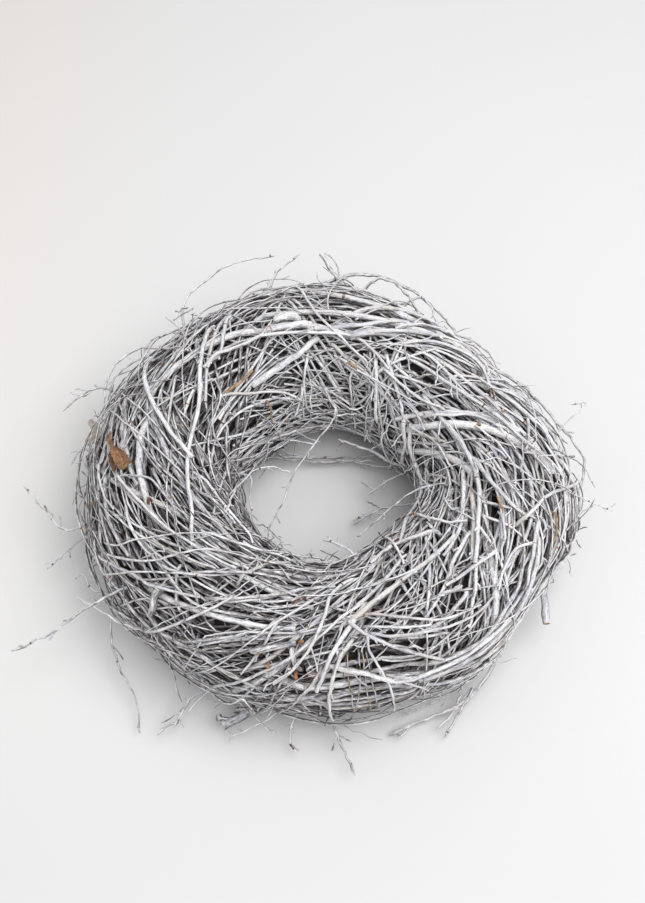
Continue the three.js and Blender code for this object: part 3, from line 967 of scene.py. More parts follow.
# One for each stray of the part, through the same places, with its forks.
STRAYS = (
    Branch("upper_left_arc", 1.2, (
        (128, 199, 100), (120, 208, 104), (113, 215, 104), (102, 218, 98)), (
        ((134, 195, 104), (135, 170, 110), (139, 148, 118), (143, 130, 124)),
        ((133, 190, 102), (130, 188, 104), (127, 187, 106)),
        ((131, 196, 102), (128, 191, 104))), shoots=0),
    Branch("left_high", 1.1, (
        (154, 196, 70), (154, 214, 68), (157, 226, 64), (161, 236, 58)), (
        ((157, 226, 64), (157, 236, 63)),)),
    Branch("left_long", 1.2, (
        (187, 192, 50), (188, 213, 48), (183, 229, 46), (177, 251, 44)), (
        ((184, 226, 46), (182, 230, 49)),)),
    Branch("left_short", 1.0, (
        (188, 196, 40), (191, 212, 36), (194, 233, 30)), (
        ((191, 212, 36), (193, 213, 33)),)),
    Branch("lower_left_long", 1.4, (
        (213, 170, 80), (211, 206, 72), (211, 243, 62), (210, 275, 56)), (
        ((211, 241, 62), (212, 247, 60)),)),
    Branch("lower_left_over", 1.3, (
        (230, 162, 80), (224, 181, 68), (217, 195, 60), (205, 215, 52))),
    Branch("lower_left_fall", 1.0, (
        (209, 191, 50), (215, 205, 34), (220, 212, 22), (227, 218, 14), (232, 234, 8)), shoots=2),
    Branch("front_left_tuft", 1.3, (
        (240, 178, 26), (237, 194, 22), (237, 205, 20), (237, 218, 16)), (
        ((243, 171, 40), (239, 190, 26), (238, 203, 20)),), shoots=7),
    Branch("front_broken_branch", 3.6, (
        (253, 175, 22), (246, 198, 16)), shoots=3, paint=(0.5, 0.6)),
    Branch("front_hook", 1.1, ((262, 176, 24), (261, 192, 16), (263, 203, 12))),
    Branch("front_spike", 1.3, ((270, 160, 36), (271, 184, 22), (273, 201, 16), (275, 219, 12))),
    Branch("front_right_branch", 1.7, (
        (313, 185, 26), (302, 192, 14), (292, 188, 8), (284, 190, 5)), (
        ((306, 188, 19), (300, 197, 12), (295, 207, 8)),
        ((306, 187, 16), (299, 194, 11), (294, 199, 9)),
        ((301, 190, 14), (304, 182, 20), (308, 176, 26))), shoots=5),
    Branch("right_stub", 3.0, ((338, 181, 40), (328, 199, 34)), shoots=0, paint=(0.75, 0.8)),
    Branch("right_fine", 0.9, ((356, 182, 84), (355, 203, 74), (354, 225, 66))),
    Branch("right_high", 0.9, ((14, 194, 80), (18, 221, 82), (18, 206, 88)), shoots=1),
    Branch("top_stub", 1.9, ((86, 178, 98), (92, 203, 112)), shoots=0),
    Branch("top_left", 1.1, ((106, 181, 100), (103, 191, 108), (97, 204, 112))),
)

HOLE_TWIGS = (
    Branch("long", 1.0, (
        (90, 53, 112), (83, 37, 112), (129, 19, 104), (195, 29, 96), (222, 51, 90),
        (229, 75, 92)), (
        ((83, 37, 112), (60, 43, 114)),
        ((129, 19, 104), (150, 34, 106), (168, 44, 104))), shoots=7),
    Branch("left", 1.0, ((195, 77, 92), (183, 57, 96), (181, 40, 94), (186, 29, 90))),
    Branch("left_fall", 0.8, ((184, 62, 90), (195, 65, 76), (213, 70, 66), (218, 78, 64))),
    Branch("left_arc", 0.9, ((210, 65, 60), (215, 61, 62), (233, 65, 72), (245, 78, 84))),
    Branch("right", 1.0, ((342, 83, 112), (324, 65, 108), (297, 65, 102), (288, 66, 98))),
    Branch("floor", 1.3, (
        (7, 60, 22), (8, 45, 16), (0, 20, 8)), (
        ((8, 45, 16), (24, 34, 18)),
        ((4, 30, 12), (340, 22, 14))), shoots=5),
    Branch("floor_high", 1.1, (
        (30, 60, 26), (33, 38, 14)), (
        ((32, 45, 18), (48, 40, 22)),), shoots=3),
    Branch("near_stub", 1.2, ((281, 70, 90), (265, 59, 84))),
    Branch("back_rod", 1.6, (
        (31, 67, 40), (56, 62, 36), (71, 61, 36), (83, 64, 36)), (
        ((56, 62, 36), (54, 70, 38)),), shoots=1, paint=(0.85, 0.95)),
    Branch("back_arc", 1.1, (
        (152, 66, 60), (135, 67, 58), (122, 67, 56), (107, 68, 52), (87, 70, 46)), shoots=1),
    Branch("back_low", 1.2, (
        (131, 83, 20), (130, 76, 16), (119, 66, 12), (97, 57, 10), (71, 61, 10), (48, 66, 14),
        (40, 77, 18)), shoots=3, roots=2),
    Branch("back_low_upper", 1.1, (
        (132, 80, 26), (121, 64, 20), (89, 58, 14), (66, 65, 14), (51, 76, 18)), shoots=4, roots=2),
    Branch("back_low_thin", 0.9, ((120, 72, 16), (100, 60, 14), (75, 59, 12), (55, 66, 16))),
    Branch("back_stub", 1.3, ((64, 85, 60), (62, 64, 44)), shoots=5),
)

RIM_TWIGS = (
    Branch("left_hook", 1.1, (
        (169, 198, 60), (169, 205, 58), (170, 211, 54), (172, 215, 48)), shoots=2),
    Branch("left_drop", 1.0, (
        (173, 197, 55), (171, 204, 50), (176, 196, 44), (180, 204, 38), (183, 204, 34)), shoots=2),
    Branch("left_low", 0.9, ((204, 199, 40), (199, 205, 40), (199, 213, 38)), shoots=1),
    Branch("front_low", 1.0, ((258, 176, 24), (251, 195, 14), (248, 203, 10)), shoots=3),
    Branch("front_right_fine", 0.9, (
        (306, 174, 24), (301, 181, 16), (294, 179, 10), (288, 179, 8)), shoots=3),
    Branch("front_hair", 0.8, ((295, 170, 22), (297, 172, 16), (296, 178, 12)), shoots=1),
    Branch("top_fine", 0.9, ((87, 189, 100), (88, 195, 106), (90, 202, 112)), shoots=1),
    Branch("left_loop", 1.2, (
        (140, 188, 86), (142, 201, 84), (148, 209, 80), (153, 207, 76), (156, 204, 72),
        (162, 193, 64)), shoots=2, roots=2),
    Branch("left_inner_loop", 1.1, (
        (140, 182, 88), (146, 192, 88), (151, 202, 79), (154, 202, 74),
        (159, 192, 66)), shoots=2, roots=2),
    Branch("left_top_loop", 1.0, (
        (130, 160, 102), (134, 184, 94), (140, 197, 87), (147, 184, 84)), shoots=3, roots=2),
    Branch("top_right_loop", 1.7, (
        (92, 180, 98), (83, 193, 98), (75, 195, 96), (66, 190, 92), (59, 184, 88), (53, 176, 86),
        (45, 166, 84)), shoots=3, roots=2),
    Branch("top_inner_loop", 1.4, (
        (78, 190, 97), (73, 192, 96), (67, 178, 96), (58, 155, 98)), shoots=1, roots=2),
    Branch("top_low_loop", 1.4, (
        (66, 188, 92), (62, 185, 90), (58, 172, 92), (51, 154, 96)), shoots=1, roots=2),
    Branch("right_high_loop", 1.0, (
        (54, 170, 86), (45, 181, 81), (38, 178, 77), (32, 164, 80)), shoots=2, roots=2),
    Branch("right_loop", 1.5, (
        (42, 168, 80), (32, 181, 77), (27, 187, 75), (18, 196, 69), (10, 208, 62), (5, 208, 58),
        (356, 194, 54)), shoots=3, roots=2),
    Branch("right_inner_loop", 1.2, (
        (38, 160, 84), (30, 176, 77), (22, 184, 73), (15, 191, 70),
        (8, 184, 68)), shoots=2, roots=2),
    Branch("right_hair", 0.6, ((7, 200, 66), (5, 208, 62), (1, 215, 56)), shoots=0),
)

# Leaf outlines as seen from the camera: height, left edge and right edge in mm, from the top down.
BROWN_LEAF = (
    (16, -7.4, -6.6), (13, -8.2, -6), (10, -9.6, -5.4), (7, -8.2, -4), (5, -6.6, -3),
    (3, -5.8, 2.4), (0, -5, 6.6), (-3, -3.8, 9.6), (-6, -2.4, 11.4), (-8, -1.4, 13),
    (-9, -0.6, 10.6), (-12, 2, 8), (-13, 3, 5.4))
BROWN_FOLD = ((1, -6.8, -4), (-4, -7.6, -2), (-7, -6.8, -1), (-10, -5.2, -0.6), (-14, -3.4, -1.6))
PAINTED_LEAF = (
    (9, -4.2, -2), (6, -5.8, 1.6), (3, -4.2, 4), (-1, -2.6, 4.8), (-5, -2.4, 4.8), (-7, -4, 3.2),
    (-10, -5.8, -1), (-12, -6, -5))


def stray_root(places):
    """Where a stray starts inside its bunch, a little back along the way it runs."""
    (angle, distance, height), (next_angle, *_) = places[:2]
    out = distance / MM_IN_METRE - float(ring_at(angle))
    up = height / MM_IN_METRE - float(bundle_at(angle)) + shape().pressed_flat
    turn = math.degrees(math.atan2(up, out))
    depth = min(math.hypot(out, up) - STRAY_ROOT, DEEPEST_ROOT)
    back = math.copysign(ROOT_BACK, angle - next_angle) if angle != next_angle else 0
    return in_bundle(angle + back, turn, depth)


def free_twig(random, points, radius, rings, paint, bud=True):
    """One twig along the points, a little crooked, with nodes and a bud at its tip."""
    centres = smooth_path(points, rings)
    crookedness = CROOKED_SHARE * min(radius, CROOKED_MOST) + CROOKED_LEAST
    crooked = random.normal(0, crookedness, centres.shape)
    crooked[ENDS] = 0
    centres = (centres + crooked)[None]
    taper = STRAY_TAPER if bud else STUB_TAPER
    radii, scab = twig_radii(random, 1, rings, 2 * radius, thin=taper, knots=STRAY_KNOTS)
    radii *= radius / radii[0, 0]
    if bud:
        radii[0, -3:] *= STRAY_BUD
        scab[0, -2] = random.random() < STRAY_BUD_SCABS
    up = np.broadcast_to((0.0, 0.0, 1.0), centres.shape)
    return Twigs(
        off_floor(centres, radii), radii, up, random.uniform(*paint, 1),
        STRAY_TONE * random.random(1), scab, np.zeros(1, int), STRAY_SIDES)


def branch_skins(random, branch):
    """The skins of a free-standing twig, its forks and its side shoots."""
    points = [on_plan(*place) for place in branch.places]
    points.insert(0, stray_root(branch.places))
    if branch.roots > 1:
        points.append(stray_root(branch.places[::-1]))
    radius = branch.radius / MM_IN_METRE
    length = sum(np.linalg.norm(np.diff(points, axis=0), axis=1))
    rings = max(FEWEST_RINGS, int(length / RING_SPACING))
    stems = [free_twig(random, points, radius, rings, branch.paint, bud=radius < THICK_STUB)]
    for fork in branch.forks:
        points = [on_plan(*place) for place in fork]
        stems.append(free_twig(random, points, radius * FORK_SHARE, FORK_RINGS, branch.paint))
    if branch.shoots:
        length = sizes().shoot_length * STRAY_SHOOT_SHARE
        stems.append(side_shoots(
            random, stems[0], branch.shoots, length, STRAY_SHOOT_THICKNESS * radius))
    return [tube_skin(stem) for stem in stems]


# Skins

@dataclass
class Skin:
    """Points with their faces, those at cut ends apart, and the values that materials read."""

    points: np.ndarray
    quads: np.ndarray
    fans: np.ndarray
    values: dict


def flat(vectors):
    return vectors.reshape(-1, vectors.shape[-1])


def ring_quads(rings, sides, first=0):
    """Faces between rings of points, from the number of the first point."""
    ring = first + (np.arange(rings - 1) * sides)[:, None]
    side, following = np.arange(sides), (np.arange(sides) + 1) % sides
    corners = (ring + side, ring + following, ring + sides + following, ring + sides + side)
    return np.stack(corners, axis=-1)


def tube_skin(twigs, chosen=slice(None)):
    """The skins of the chosen twigs, with their places in the bark's patterns and their finish."""
    centres, radii, up = twigs.centres[chosen], twigs.radii[chosen], twigs.up[chosen]
    count, rings = radii.shape
    sides = twigs.sides
    ahead = twigs.ahead()[chosen]
    across = unit(np.cross(ahead, up))
    upright = np.cross(across, ahead)
    turn = 2 * np.pi * np.arange(sides) / sides
    cosine, sine = np.cos(turn)[:, None], np.sin(turn)[:, None]
    outwards = cosine * across[:, :, None] + sine * upright[:, :, None]
    points = centres[:, :, None] + radii[:, :, None, None] * outwards

    steps = np.diff(centres, axis=1, prepend=centres[:, :1])
    bark = np.empty((count, rings, sides, 3))
    bark[..., 0] = radii[..., None] * np.cos(turn)
    bark[..., 1] = radii[..., None] * np.sin(turn)
    bark[..., 2] = np.cumsum(np.linalg.norm(steps, axis=2), axis=1)[..., None]
    bark += (np.arange(count)[:, None] * BARK_SHIFT % BARK_SPREAD)[:, None, None]

    finish = np.empty((count, rings, sides, 3))
    # Each twig's sides and underside get less wash: partly a thinner wash and partly painted shade.
    washed = 1 - WASH_AND_SHADE_LOST_BELOW + WASH_AND_SHADE_LOST_BELOW * np.sin(turn)
    finish[..., 0] = twigs.paint[chosen][:, None, None] * washed
    finish[..., 1] = twigs.tone[chosen][:, None, None]
    finish[..., 2] = twigs.scab[chosen][..., None]

    first = (np.arange(count) * rings * sides)[:, None, None]
    skin = Skin(flat(points), flat(ring_quads(rings, sides, first)), np.empty((0, 3), int),
                {"bark": flat(bark), "finish": flat(finish)})
    if not twigs.capped:
        return skin

    endwards = np.stack((-ahead[:, 0], ahead[:, -1]), axis=1)
    middles = centres[:, ENDS] + endwards * radii[:, ENDS, None] * END_BULGE
    rim = len(skin.points) + np.arange(count * 2 * sides).reshape(count, 2, sides)
    middle = len(skin.points) + count * 2 * sides + np.arange(count * 2).reshape(count, 2, 1)
    following = np.roll(rim, -1, axis=-1)
    fans = np.stack((rim, following, np.broadcast_to(middle, rim.shape)), axis=-1)
    fans[:, 0] = fans[:, 0, :, ::-1]
    skin.points = np.concatenate((skin.points, flat(points[:, ENDS]), flat(middles)))
    skin.fans = flat(fans)
    for name, value in (("bark", bark), ("finish", finish)):
        ends = (skin.values[name], flat(value[:, ENDS]), flat(value[:, ENDS, 0]))
        skin.values[name] = np.concatenate(ends)
    return skin


def shade_core_skin(bunch):
    """The mass of twigs inside a bunch, which closes the gaps between those that show, near-black
    as painted shade.
    """
    start = math.degrees(shape().first_bunch) + bunch * BUNCH_SPAN + math.degrees(shape().tip_lead)
    span = (start - CORE_OVERLAP, start + BUNCH_SPAN + CORE_OVERLAP)
    angle = np.linspace(*span, CORE_RINGS)[:, None]
    turn = np.arange(CORE_SIDES)[None] * ALL_ROUND / CORE_SIDES
    ridge = CORE_RIDGE * (np.arange(CORE_SIDES)[None] % 2)
    angle, turn = np.broadcast_arrays(angle, turn)
    points = in_bundle(angle, turn, shape().core_depth + ridge)
    along = angle * CORE_BARK_ALONG + bunch
    bark = np.stack((turn * CORE_BARK_ROUND, np.zeros(turn.shape), along), axis=-1)
    outside_in = ring_quads(CORE_RINGS, CORE_SIDES)[..., [0, 3, 2, 1]]
    # No wash at all, which the bark material paints near-black as painted shade.
    return Skin(
        flat(off_floor(points, CORE_LOWEST)), flat(outside_in), np.empty((0, 3), int),
        {"bark": flat(bark), "finish": flat(np.zeros(bark.shape))})


def leaf_blade(random, edges, place, facing, fold_shade=0.0):
    """The skin of a blade between its edges, cupped and rippled, on a plane through the place."""
    scale = sizes().leaf_length / (BROWN_LEAF[0][0] - BROWN_LEAF[-1][0])
    known = np.linspace(0, 1, len(edges))
    along, aside = np.meshgrid(
        np.linspace(0, 1, LEAF_ROWS), np.linspace(-1, 1, LEAF_COLUMNS), indexing="ij")
    height, left, right = (scale * np.interp(along, known, row) for row in zip(*edges))
    ragged = LEAF_RAGGEDNESS * random.standard_normal((2, LEAF_ROWS, 1))
    left, right = left + ragged[0], right + ragged[1]
    sideways = (left + right) / 2 + aside * (right - left) / 2
    level = -(sideways * (facing @ ACROSS) + height * (facing @ UPWARDS)) / (facing @ TOWARDS)
    ripples = np.sin(RIPPLES_ALONG * along + RIPPLES_ACROSS * aside)
    cupped = LEAF_CUP * np.abs(aside) * (right - left) + RIPPLE_DEPTH * ripples
    side_veins = np.cos(SIDE_VEINS * (along - SIDE_VEIN_LEAN * np.abs(aside)))
    vein = -VEIN_DEPTH * np.exp(-((aside / VEIN_WIDTH) ** 2)) - SIDE_VEIN_DEPTH * side_veins
    courses = ((sideways, ACROSS), (height, UPWARDS), (level + cupped + vein, TOWARDS))
    points = place + sum(share[..., None] * course for share, course in courses)

    slopes = np.gradient(points, axis=0), np.gradient(points, axis=1)
    half = unit(np.cross(*slopes)) * LEAF_THICKNESS / 2
    grid = np.arange(along.size).reshape(along.shape)
    cells = flat(np.stack((grid[:-1, :-1], grid[1:, :-1], grid[1:, 1:], grid[:-1, 1:]), axis=-1))
    rim = np.concatenate((grid[0, :-1], grid[:-1, -1], grid[-1, :0:-1], grid[:0:-1, 0]))
    following = np.roll(rim, -1)
    edge = np.stack((rim, following, following + grid.size, rim + grid.size), axis=-1)
    values = np.stack((along, aside, np.full_like(along, fold_shade)), axis=-1)
    return Skin(
        np.concatenate((flat(points + half), flat(points - half))),
        np.concatenate((cells, cells[:, ::-1] + grid.size, edge)), np.empty((0, 3), int),
        {"blade": np.tile(flat(values), (2, 1))})


def wreath_piece(name, skins, replaced, materials):
    """A piece of the wreath from its skins. The faces at cut ends take the second material."""
    shifts = np.cumsum([0] + [len(skin.points) for skin in skins[:-1]])
    points = np.concatenate([skin.points for skin in skins])
    quads = np.concatenate([skin.quads + shift for skin, shift in zip(skins, shifts)])
    fans = np.concatenate([skin.fans + shift for skin, shift in zip(skins, shifts)])
    corners = np.concatenate((quads.ravel(), fans.ravel()))
    starts = np.concatenate((4 * np.arange(len(quads)), quads.size + 3 * np.arange(len(fans))))
    at_ends = np.arange(len(starts)) >= len(quads)

    mesh = bpy.data.meshes.new(name)
    mesh.vertices.add(len(points))
    mesh.vertices.foreach_set("co", points.astype(np.float32).ravel())
    mesh.loops.add(len(corners))
    mesh.loops.foreach_set("vertex_index", corners.astype(np.int32))
    mesh.polygons.add(len(starts))
    mesh.polygons.foreach_set("loop_start", starts.astype(np.int32))
    mesh.polygons.foreach_set("material_index", at_ends.astype(np.int32))
    for attribute in skins[0].values:
        values = np.concatenate([skin.values[attribute] for skin in skins])
        layer = mesh.attributes.new(attribute, "FLOAT_VECTOR", "POINT")
        layer.data.foreach_set("vector", values.astype(np.float32).ravel())
    mesh.update(calc_edges=True)
    mesh.shade_smooth()
    for material in materials:
        mesh.materials.append(material)
    piece = bpy.data.objects.new(name, mesh)
    bpy.context.scene.collection.objects.link(piece)
    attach(piece, "root")
    if replaced:
        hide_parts(*replaced)
    return piece


def winding_way():
    """Turn and angle along the wire, which goes round the bundle once for each pass."""
    known = [WIRE_START]
    angles = [WIRE_PASSES[0][0]]
    for count, (low, high) in enumerate(WIRE_PASSES):
        known += [WIRE_LOW + count * ALL_ROUND, WIRE_LOW + WIRE_CLIMB + count * ALL_ROUND]
        angles += [low, high]
    last = WIRE_START + len(WIRE_PASSES) * ALL_ROUND
    known.append(last)
    angles.append(WIRE_PASSES[-1][1])
    turns = np.arange(WIRE_START, last + 1, WIRE_STEP, dtype=float)
    return turns, np.interp(turns, known, angles)


def wire_radii(turns):
    return np.full(len(turns), sizes().wire_thickness / 2)


def wind(random, pile):
    """Lays the wire on the pile and returns its angle, turn and depth at each step."""
    turns, angles = winding_way()
    angles = angles + random.normal(0, WIRE_SLACK, len(turns))
    share = np.linspace(0, 1, len(turns))
    rise = -WIRE_END_DEPTH * eased(1 - np.minimum(share, 1 - share) / WIRE_END_SHARE, 1)
    hidden = np.abs(apart(turns, WIRE_SHOWS)) > WIRE_SHOWN_SIDE
    rise = rise - WIRE_HIDDEN_DEPTH * hidden
    depth = pile.lay(
        angles, turns, wire_radii(turns), WIRE_STIFFNESS, rise, 1.0, shape().fullest_depth,
        forced=True)
    return angles, turns, depth


# Materials

def rgba(colour, share=1.0):
    """A colour as a material wants it, darker or paler by a share."""
    return (*(min(part * share, 1.0) for part in colour), 1.0)


class Graph:
    """A material's nodes, added one at a time."""

    def __init__(self, name):
        self.material = bpy.data.materials.new(name)
        self.material.use_nodes = True
        self.tree = self.material.node_tree
        self.shader = self.tree.nodes["Principled BSDF"]

    def put(self, socket, value):
        """Links a node's output to a socket, or sets the socket's value."""
        if isinstance(value, bpy.types.NodeSocket):
            self.tree.links.new(value, socket)
        else:
            socket.default_value = value

    def node(self, kind, *inputs, **named):
        """A new node with its first inputs and its named ones."""
        node = self.tree.nodes.new(kind)
        for socket, value in zip(node.inputs, inputs):
            self.put(socket, value)
        for name, value in named.items():
            self.put(node.inputs[name], value)
        return node

    def attribute(self, name):
        node = self.node("ShaderNodeAttribute")
        node.attribute_name = name
        return node.outputs["Vector"]

    def place(self):
        return self.node("ShaderNodeTexCoord").outputs["Object"]

    def parts(self, vector):
        return self.node("ShaderNodeSeparateXYZ", vector).outputs

    def noise(self, vector, detail=3.0, scale=1.0):
        return self.node(
            "ShaderNodeTexNoise", Vector=vector, Scale=scale, Detail=detail,
            Roughness=NOISE_ROUGHNESS).outputs[0]

    def bark_noise(self, vector, around, along, detail):
        """Noise that changes so fast around a twig and so fast along it."""
        stretched = self.node("ShaderNodeMapping", Vector=vector, Scale=(around, around, along))
        return self.noise(stretched.outputs[0], detail)

    def math(self, operation, first, second=0.0):
        node = self.node("ShaderNodeMath", first, second)
        node.operation = operation
        return node.outputs[0]

    def plus(self, first, second):
        return self.math("ADD", first, second)

    def times(self, first, second):
        return self.math("MULTIPLY", first, second)

    def minus(self, first, second):
        return self.math("SUBTRACT", first, second)

    def band(self, value, low, high, to_low=0.0, to_high=1.0):
        """The value eased from one range to another."""
        node = self.node("ShaderNodeMapRange", value, low, high, to_low, to_high)
        node.interpolation_type = "SMOOTHSTEP"
        return node.outputs[0]

    def mix(self, factor, first, second):
        node = self.node("ShaderNodeMix")
        node.data_type = "RGBA"
        for number, value in ((0, factor), (6, first), (7, second)):
            self.put(node.inputs[number], value)
        return node.outputs[2]

    def bump(self, height, distance):
        node = self.node("ShaderNodeBump", Height=height, Distance=distance, Strength=1.0)
        self.put(self.shader.inputs["Normal"], node.outputs[0])

    def surface(self, **values):
        for name, value in values.items():
            self.put(self.shader.inputs[name.replace("_", " ")], value)
        return self.material


def whitewashed_bark():
    """Grey-brown bark under a thin, streaked white wash, with red-brown scabs at the nodes, and
    near-black painted shade where there is no wash, as on the core.
    """
    if "Whitewashed bark" in bpy.data.materials:
        return bpy.data.materials["Whitewashed bark"]
    paint_box = colours()
    graph = Graph("Whitewashed bark")
    bark = graph.attribute("bark")
    paint, tone, scab = graph.parts(graph.attribute("finish"))
    streaks = graph.bark_noise(bark, 1200, 120, detail=4)
    patches = graph.bark_noise(bark, 500, 190, detail=4)
    clouds = graph.bark_noise(bark, 160, 60, detail=2)
    flecks = graph.bark_noise(bark, 1300, 700, detail=2)
    hues = graph.bark_noise(bark, 90, 45, detail=2)
    lines = graph.bark_noise(bark, 2600, 170, detail=2)

    light = rgba(paint_box.bark_light)
    dark = rgba(paint_box.bark_dark_and_inner_shade)
    grain = graph.band(streaks, 0.35, 0.68)
    wavering = graph.plus(graph.times(patches, 1.3), streaks)
    cover = graph.band(graph.plus(wavering, graph.times(paint, 1.2)), 1.35, 2.1)
    whiteness = graph.plus(graph.times(tone, 0.4), graph.band(streaks, 0.34, 0.62, 0, 0.45))
    whiteness = graph.plus(whiteness, graph.band(clouds, 0.38, 0.6, -0.1, 0.25))
    shade = graph.mix(
        graph.band(hues, 0.42, 0.58), rgba(paint_box.wash_shade), rgba(paint_box.wash_warm))
    wash = graph.mix(whiteness, shade, rgba(paint_box.wash_light))
    lined = graph.mix(graph.band(lines, 0.56, 0.68, 0, 0.5), wash, light)
    coated = graph.mix(cover, graph.mix(grain, dark, light), lined)
    flecked = graph.mix(graph.band(flecks, 0.58, 0.67, 0, 0.65), coated, light)
    scabs = graph.times(graph.band(scab, 0.82, 0.95), graph.band(patches, 0.36, 0.5))
    scab_colour = graph.mix(
        graph.band(tone, 0.55, 0.6), rgba(paint_box.scab), rgba(paint_box.bud))
    scabbed = graph.mix(scabs, flecked, scab_colour)
    # Near-black painted shade, used where there is no wash, as on the core.
    inside = graph.mix(grain, rgba(paint_box.bark_dark_and_inner_shade, 0.35), dark)
    graph.bump(graph.plus(streaks, graph.times(patches, 0.6)), 0.0003)
    return graph.surface(
        Base_Color=graph.mix(graph.band(paint, 0.002, 0.01), inside, scabbed),
        Roughness=graph.band(cover, 0, 1, 0.72, 0.86))


def cut_wood():
    """Tan end grain where a twig was cut or broke, partly under the wash."""
    if "Cut end" in bpy.data.materials:
        return bpy.data.materials["Cut end"]
    paint_box = colours()
    graph = Graph("Cut end")
    _, tone, _ = graph.parts(graph.attribute("finish"))
    grain = graph.bark_noise(graph.attribute("bark"), 1400, 300, detail=3)
    wood = graph.mix(
        graph.band(grain, 0.35, 0.62), rgba(paint_box.cut_wood, 0.4), rgba(paint_box.cut_wood))
    washed = graph.mix(graph.band(tone, 0.6, 1.0, 0, 0.5), wood, rgba(paint_box.wash_warm))
    graph.bump(grain, 0.0002)
    return graph.surface(Base_Color=washed, Roughness=0.85)


def brass(name):
    """Thin brass-coloured wire, dulled in places."""
    graph = Graph(name)
    dull = graph.noise(graph.place(), scale=700)
    wire = graph.mix(
        graph.band(dull, 0.38, 0.62), rgba(colours().brass, DULL_BRASS), rgba(colours().brass))
    graph.bump(dull, 0.0001)
    return graph.surface(Base_Color=wire, Metallic=1.0, Roughness=0.42)


def painted_brass():
    """The winding's wire, which the white wash has partly covered."""
    graph = Graph("Painted brass wire")
    bark = graph.attribute("bark")
    patches = graph.bark_noise(bark, 300, 85, detail=3)
    dull = graph.bark_noise(bark, 900, 400, detail=3)
    wire = graph.mix(
        graph.band(dull, 0.36, 0.62), rgba(colours().brass, DULL_BRASS), rgba(colours().brass))
    washed = graph.band(patches, 0.47, 0.53)
    graph.bump(graph.plus(dull, washed), 0.0001)
    return graph.surface(
        Base_Color=graph.mix(washed, wire, rgba(colours().wash_shade)),
        Metallic=graph.band(washed, 0.2, 0.8, 1.0, 0.0),
        Roughness=graph.band(washed, 0, 1, 0.4, 0.8))


def bare_rod():
    """Grey-brown rods, unpainted, inside the bunches."""
    graph = Graph("Bare rod")
    grain = graph.noise(graph.place(), detail=5, scale=260)
    bark = graph.mix(
        graph.band(grain, 0.35, 0.65), rgba(colours().bark_dark_and_inner_shade), rgba(colours().bark_light))
    graph.bump(grain, 0.0004)
    return graph.surface(Base_Color=bark, Roughness=0.8)


def leaf_skin(name, painted):
    """A dry leaf's skin, with a pale main vein, side veins and darker blotches, and painted shade
    on the fold behind it.
    """
    graph = Graph(name)
    along, aside, fold_shade = graph.parts(graph.attribute("blade"))
    place = graph.place()
    blotch = graph.noise(place, detail=4, scale=330)
    fine = graph.noise(place, detail=4, scale=1800)
    dark = rgba(colours().leaf, 0.45)
    pale = rgba(colours().leaf, 2.2)
    skin = graph.mix(graph.band(blotch, 0.38, 0.62), dark, rgba(colours().leaf))
    skin = graph.mix(graph.band(fine, 0.45, 0.75, 0, 0.5), skin, pale)
    away = graph.math("ABSOLUTE", aside)
    main_vein = graph.band(away, 0.03, 0.09, 0.8, 0.0)
    slope = graph.minus(graph.times(along, 7.3), graph.times(away, 2.6))
    between = graph.math("ABSOLUTE", graph.minus(graph.math("FRACT", slope), 0.5))
    side_veins = graph.band(between, 0.0, 0.08, 0.5, 0.0)
    veined = graph.mix(graph.math("MAXIMUM", main_vein, side_veins), skin, pale)
    # Painted shade on the fold behind the leaf.
    veined = graph.mix(graph.times(fold_shade, 0.8), veined, dark)
    if painted:
        wash = rgba(colours().wash_warm, 0.74)
        veined = graph.mix(graph.band(blotch, 0.3, 0.5, 0.45, 0.85), veined, wash)
    graph.bump(graph.minus(fine, side_veins), 0.0002)
    return graph.surface(Base_Color=veined, Roughness=0.66)


def pale_floor():
    """A pale floor, with painted shade that darkens it near the camera and painted warm light in
    the corner at the upper left.
    """
    graph = Graph("Pale floor")
    place = graph.place()
    cloud = graph.noise(place, detail=2, scale=1.2)
    across, along, _ = graph.parts(place)
    floor = colours().floor
    paper = graph.mix(graph.band(cloud, 0.35, 0.65), rgba(floor, 0.975), rgba(floor))
    # Painted warm light in the corner at the upper left.
    warm_light_colour = rgba([part * share for part, share in zip(floor, PAINTED_WARM_LIGHT)])
    warm_light_share = graph.times(
        graph.band(across, -0.4, -0.1, 1.0, 0.0), graph.band(along, -0.15, 0.45, 0.35, 1.0))
    paper = graph.mix(warm_light_share, paper, warm_light_colour)
    # Painted shade, darker near the camera.
    paper = graph.mix(graph.band(along, -0.3, -0.08, 1.0, 0.0), paper, rgba(floor, 0.93))
    return graph.surface(Base_Color=paper, Roughness=0.8)


# Layers of twigs, from the dark ones inside to those that arch over. The lower layers get less
# wash, partly a thinner wash and partly painted shade. What stands below the top or in gaps is
# measured from the depth of the outermost twigs.
ALONG = dict(slant=16, reversed_share=0.3, straightness=(0.0, 0.5))
INNER_LAYER = dict(
    ALONG, length=0.14, rings=16, sides=5, paint=(0.2, 0.5), stiffness=2, tuck=0.004, kink=0.01,
    below_top=0.010)
DEEP_FILL = dict(
    ALONG, length=0.035, rings=6, sides=5, paint=(0.25, 0.6), stiffness=0, tuck=0.001, spray=2,
    kink=0.01, gap_below=0.016, below_top=0.009)
UNDER_LAYER = dict(
    ALONG, length=0.18, rings=24, sides=6, paint=(0.45, 0.85), stiffness=3, tuck=0.006, spray=5,
    kink=0.012, below_top=0.006)
ROD_LAYER = dict(
    slant=9, reversed_share=0.3, straightness=(0.0, 0.2), length=0.16, rings=24, sides=8,
    paint=(0.6, 0.95), stiffness=6, tuck=0.012, press=0.4, thin=0.7, spray=2, kink=0.006,
    turns=(-40, 110), below_top=0.002)
COVER_LAYER = dict(
    ALONG, length=0.19, rings=26, sides=6, paint=(0.6, 1.0), stiffness=4, tuck=0.008, lift=0.003,
    spray=4, kink=0.014, below_top=0.0035)
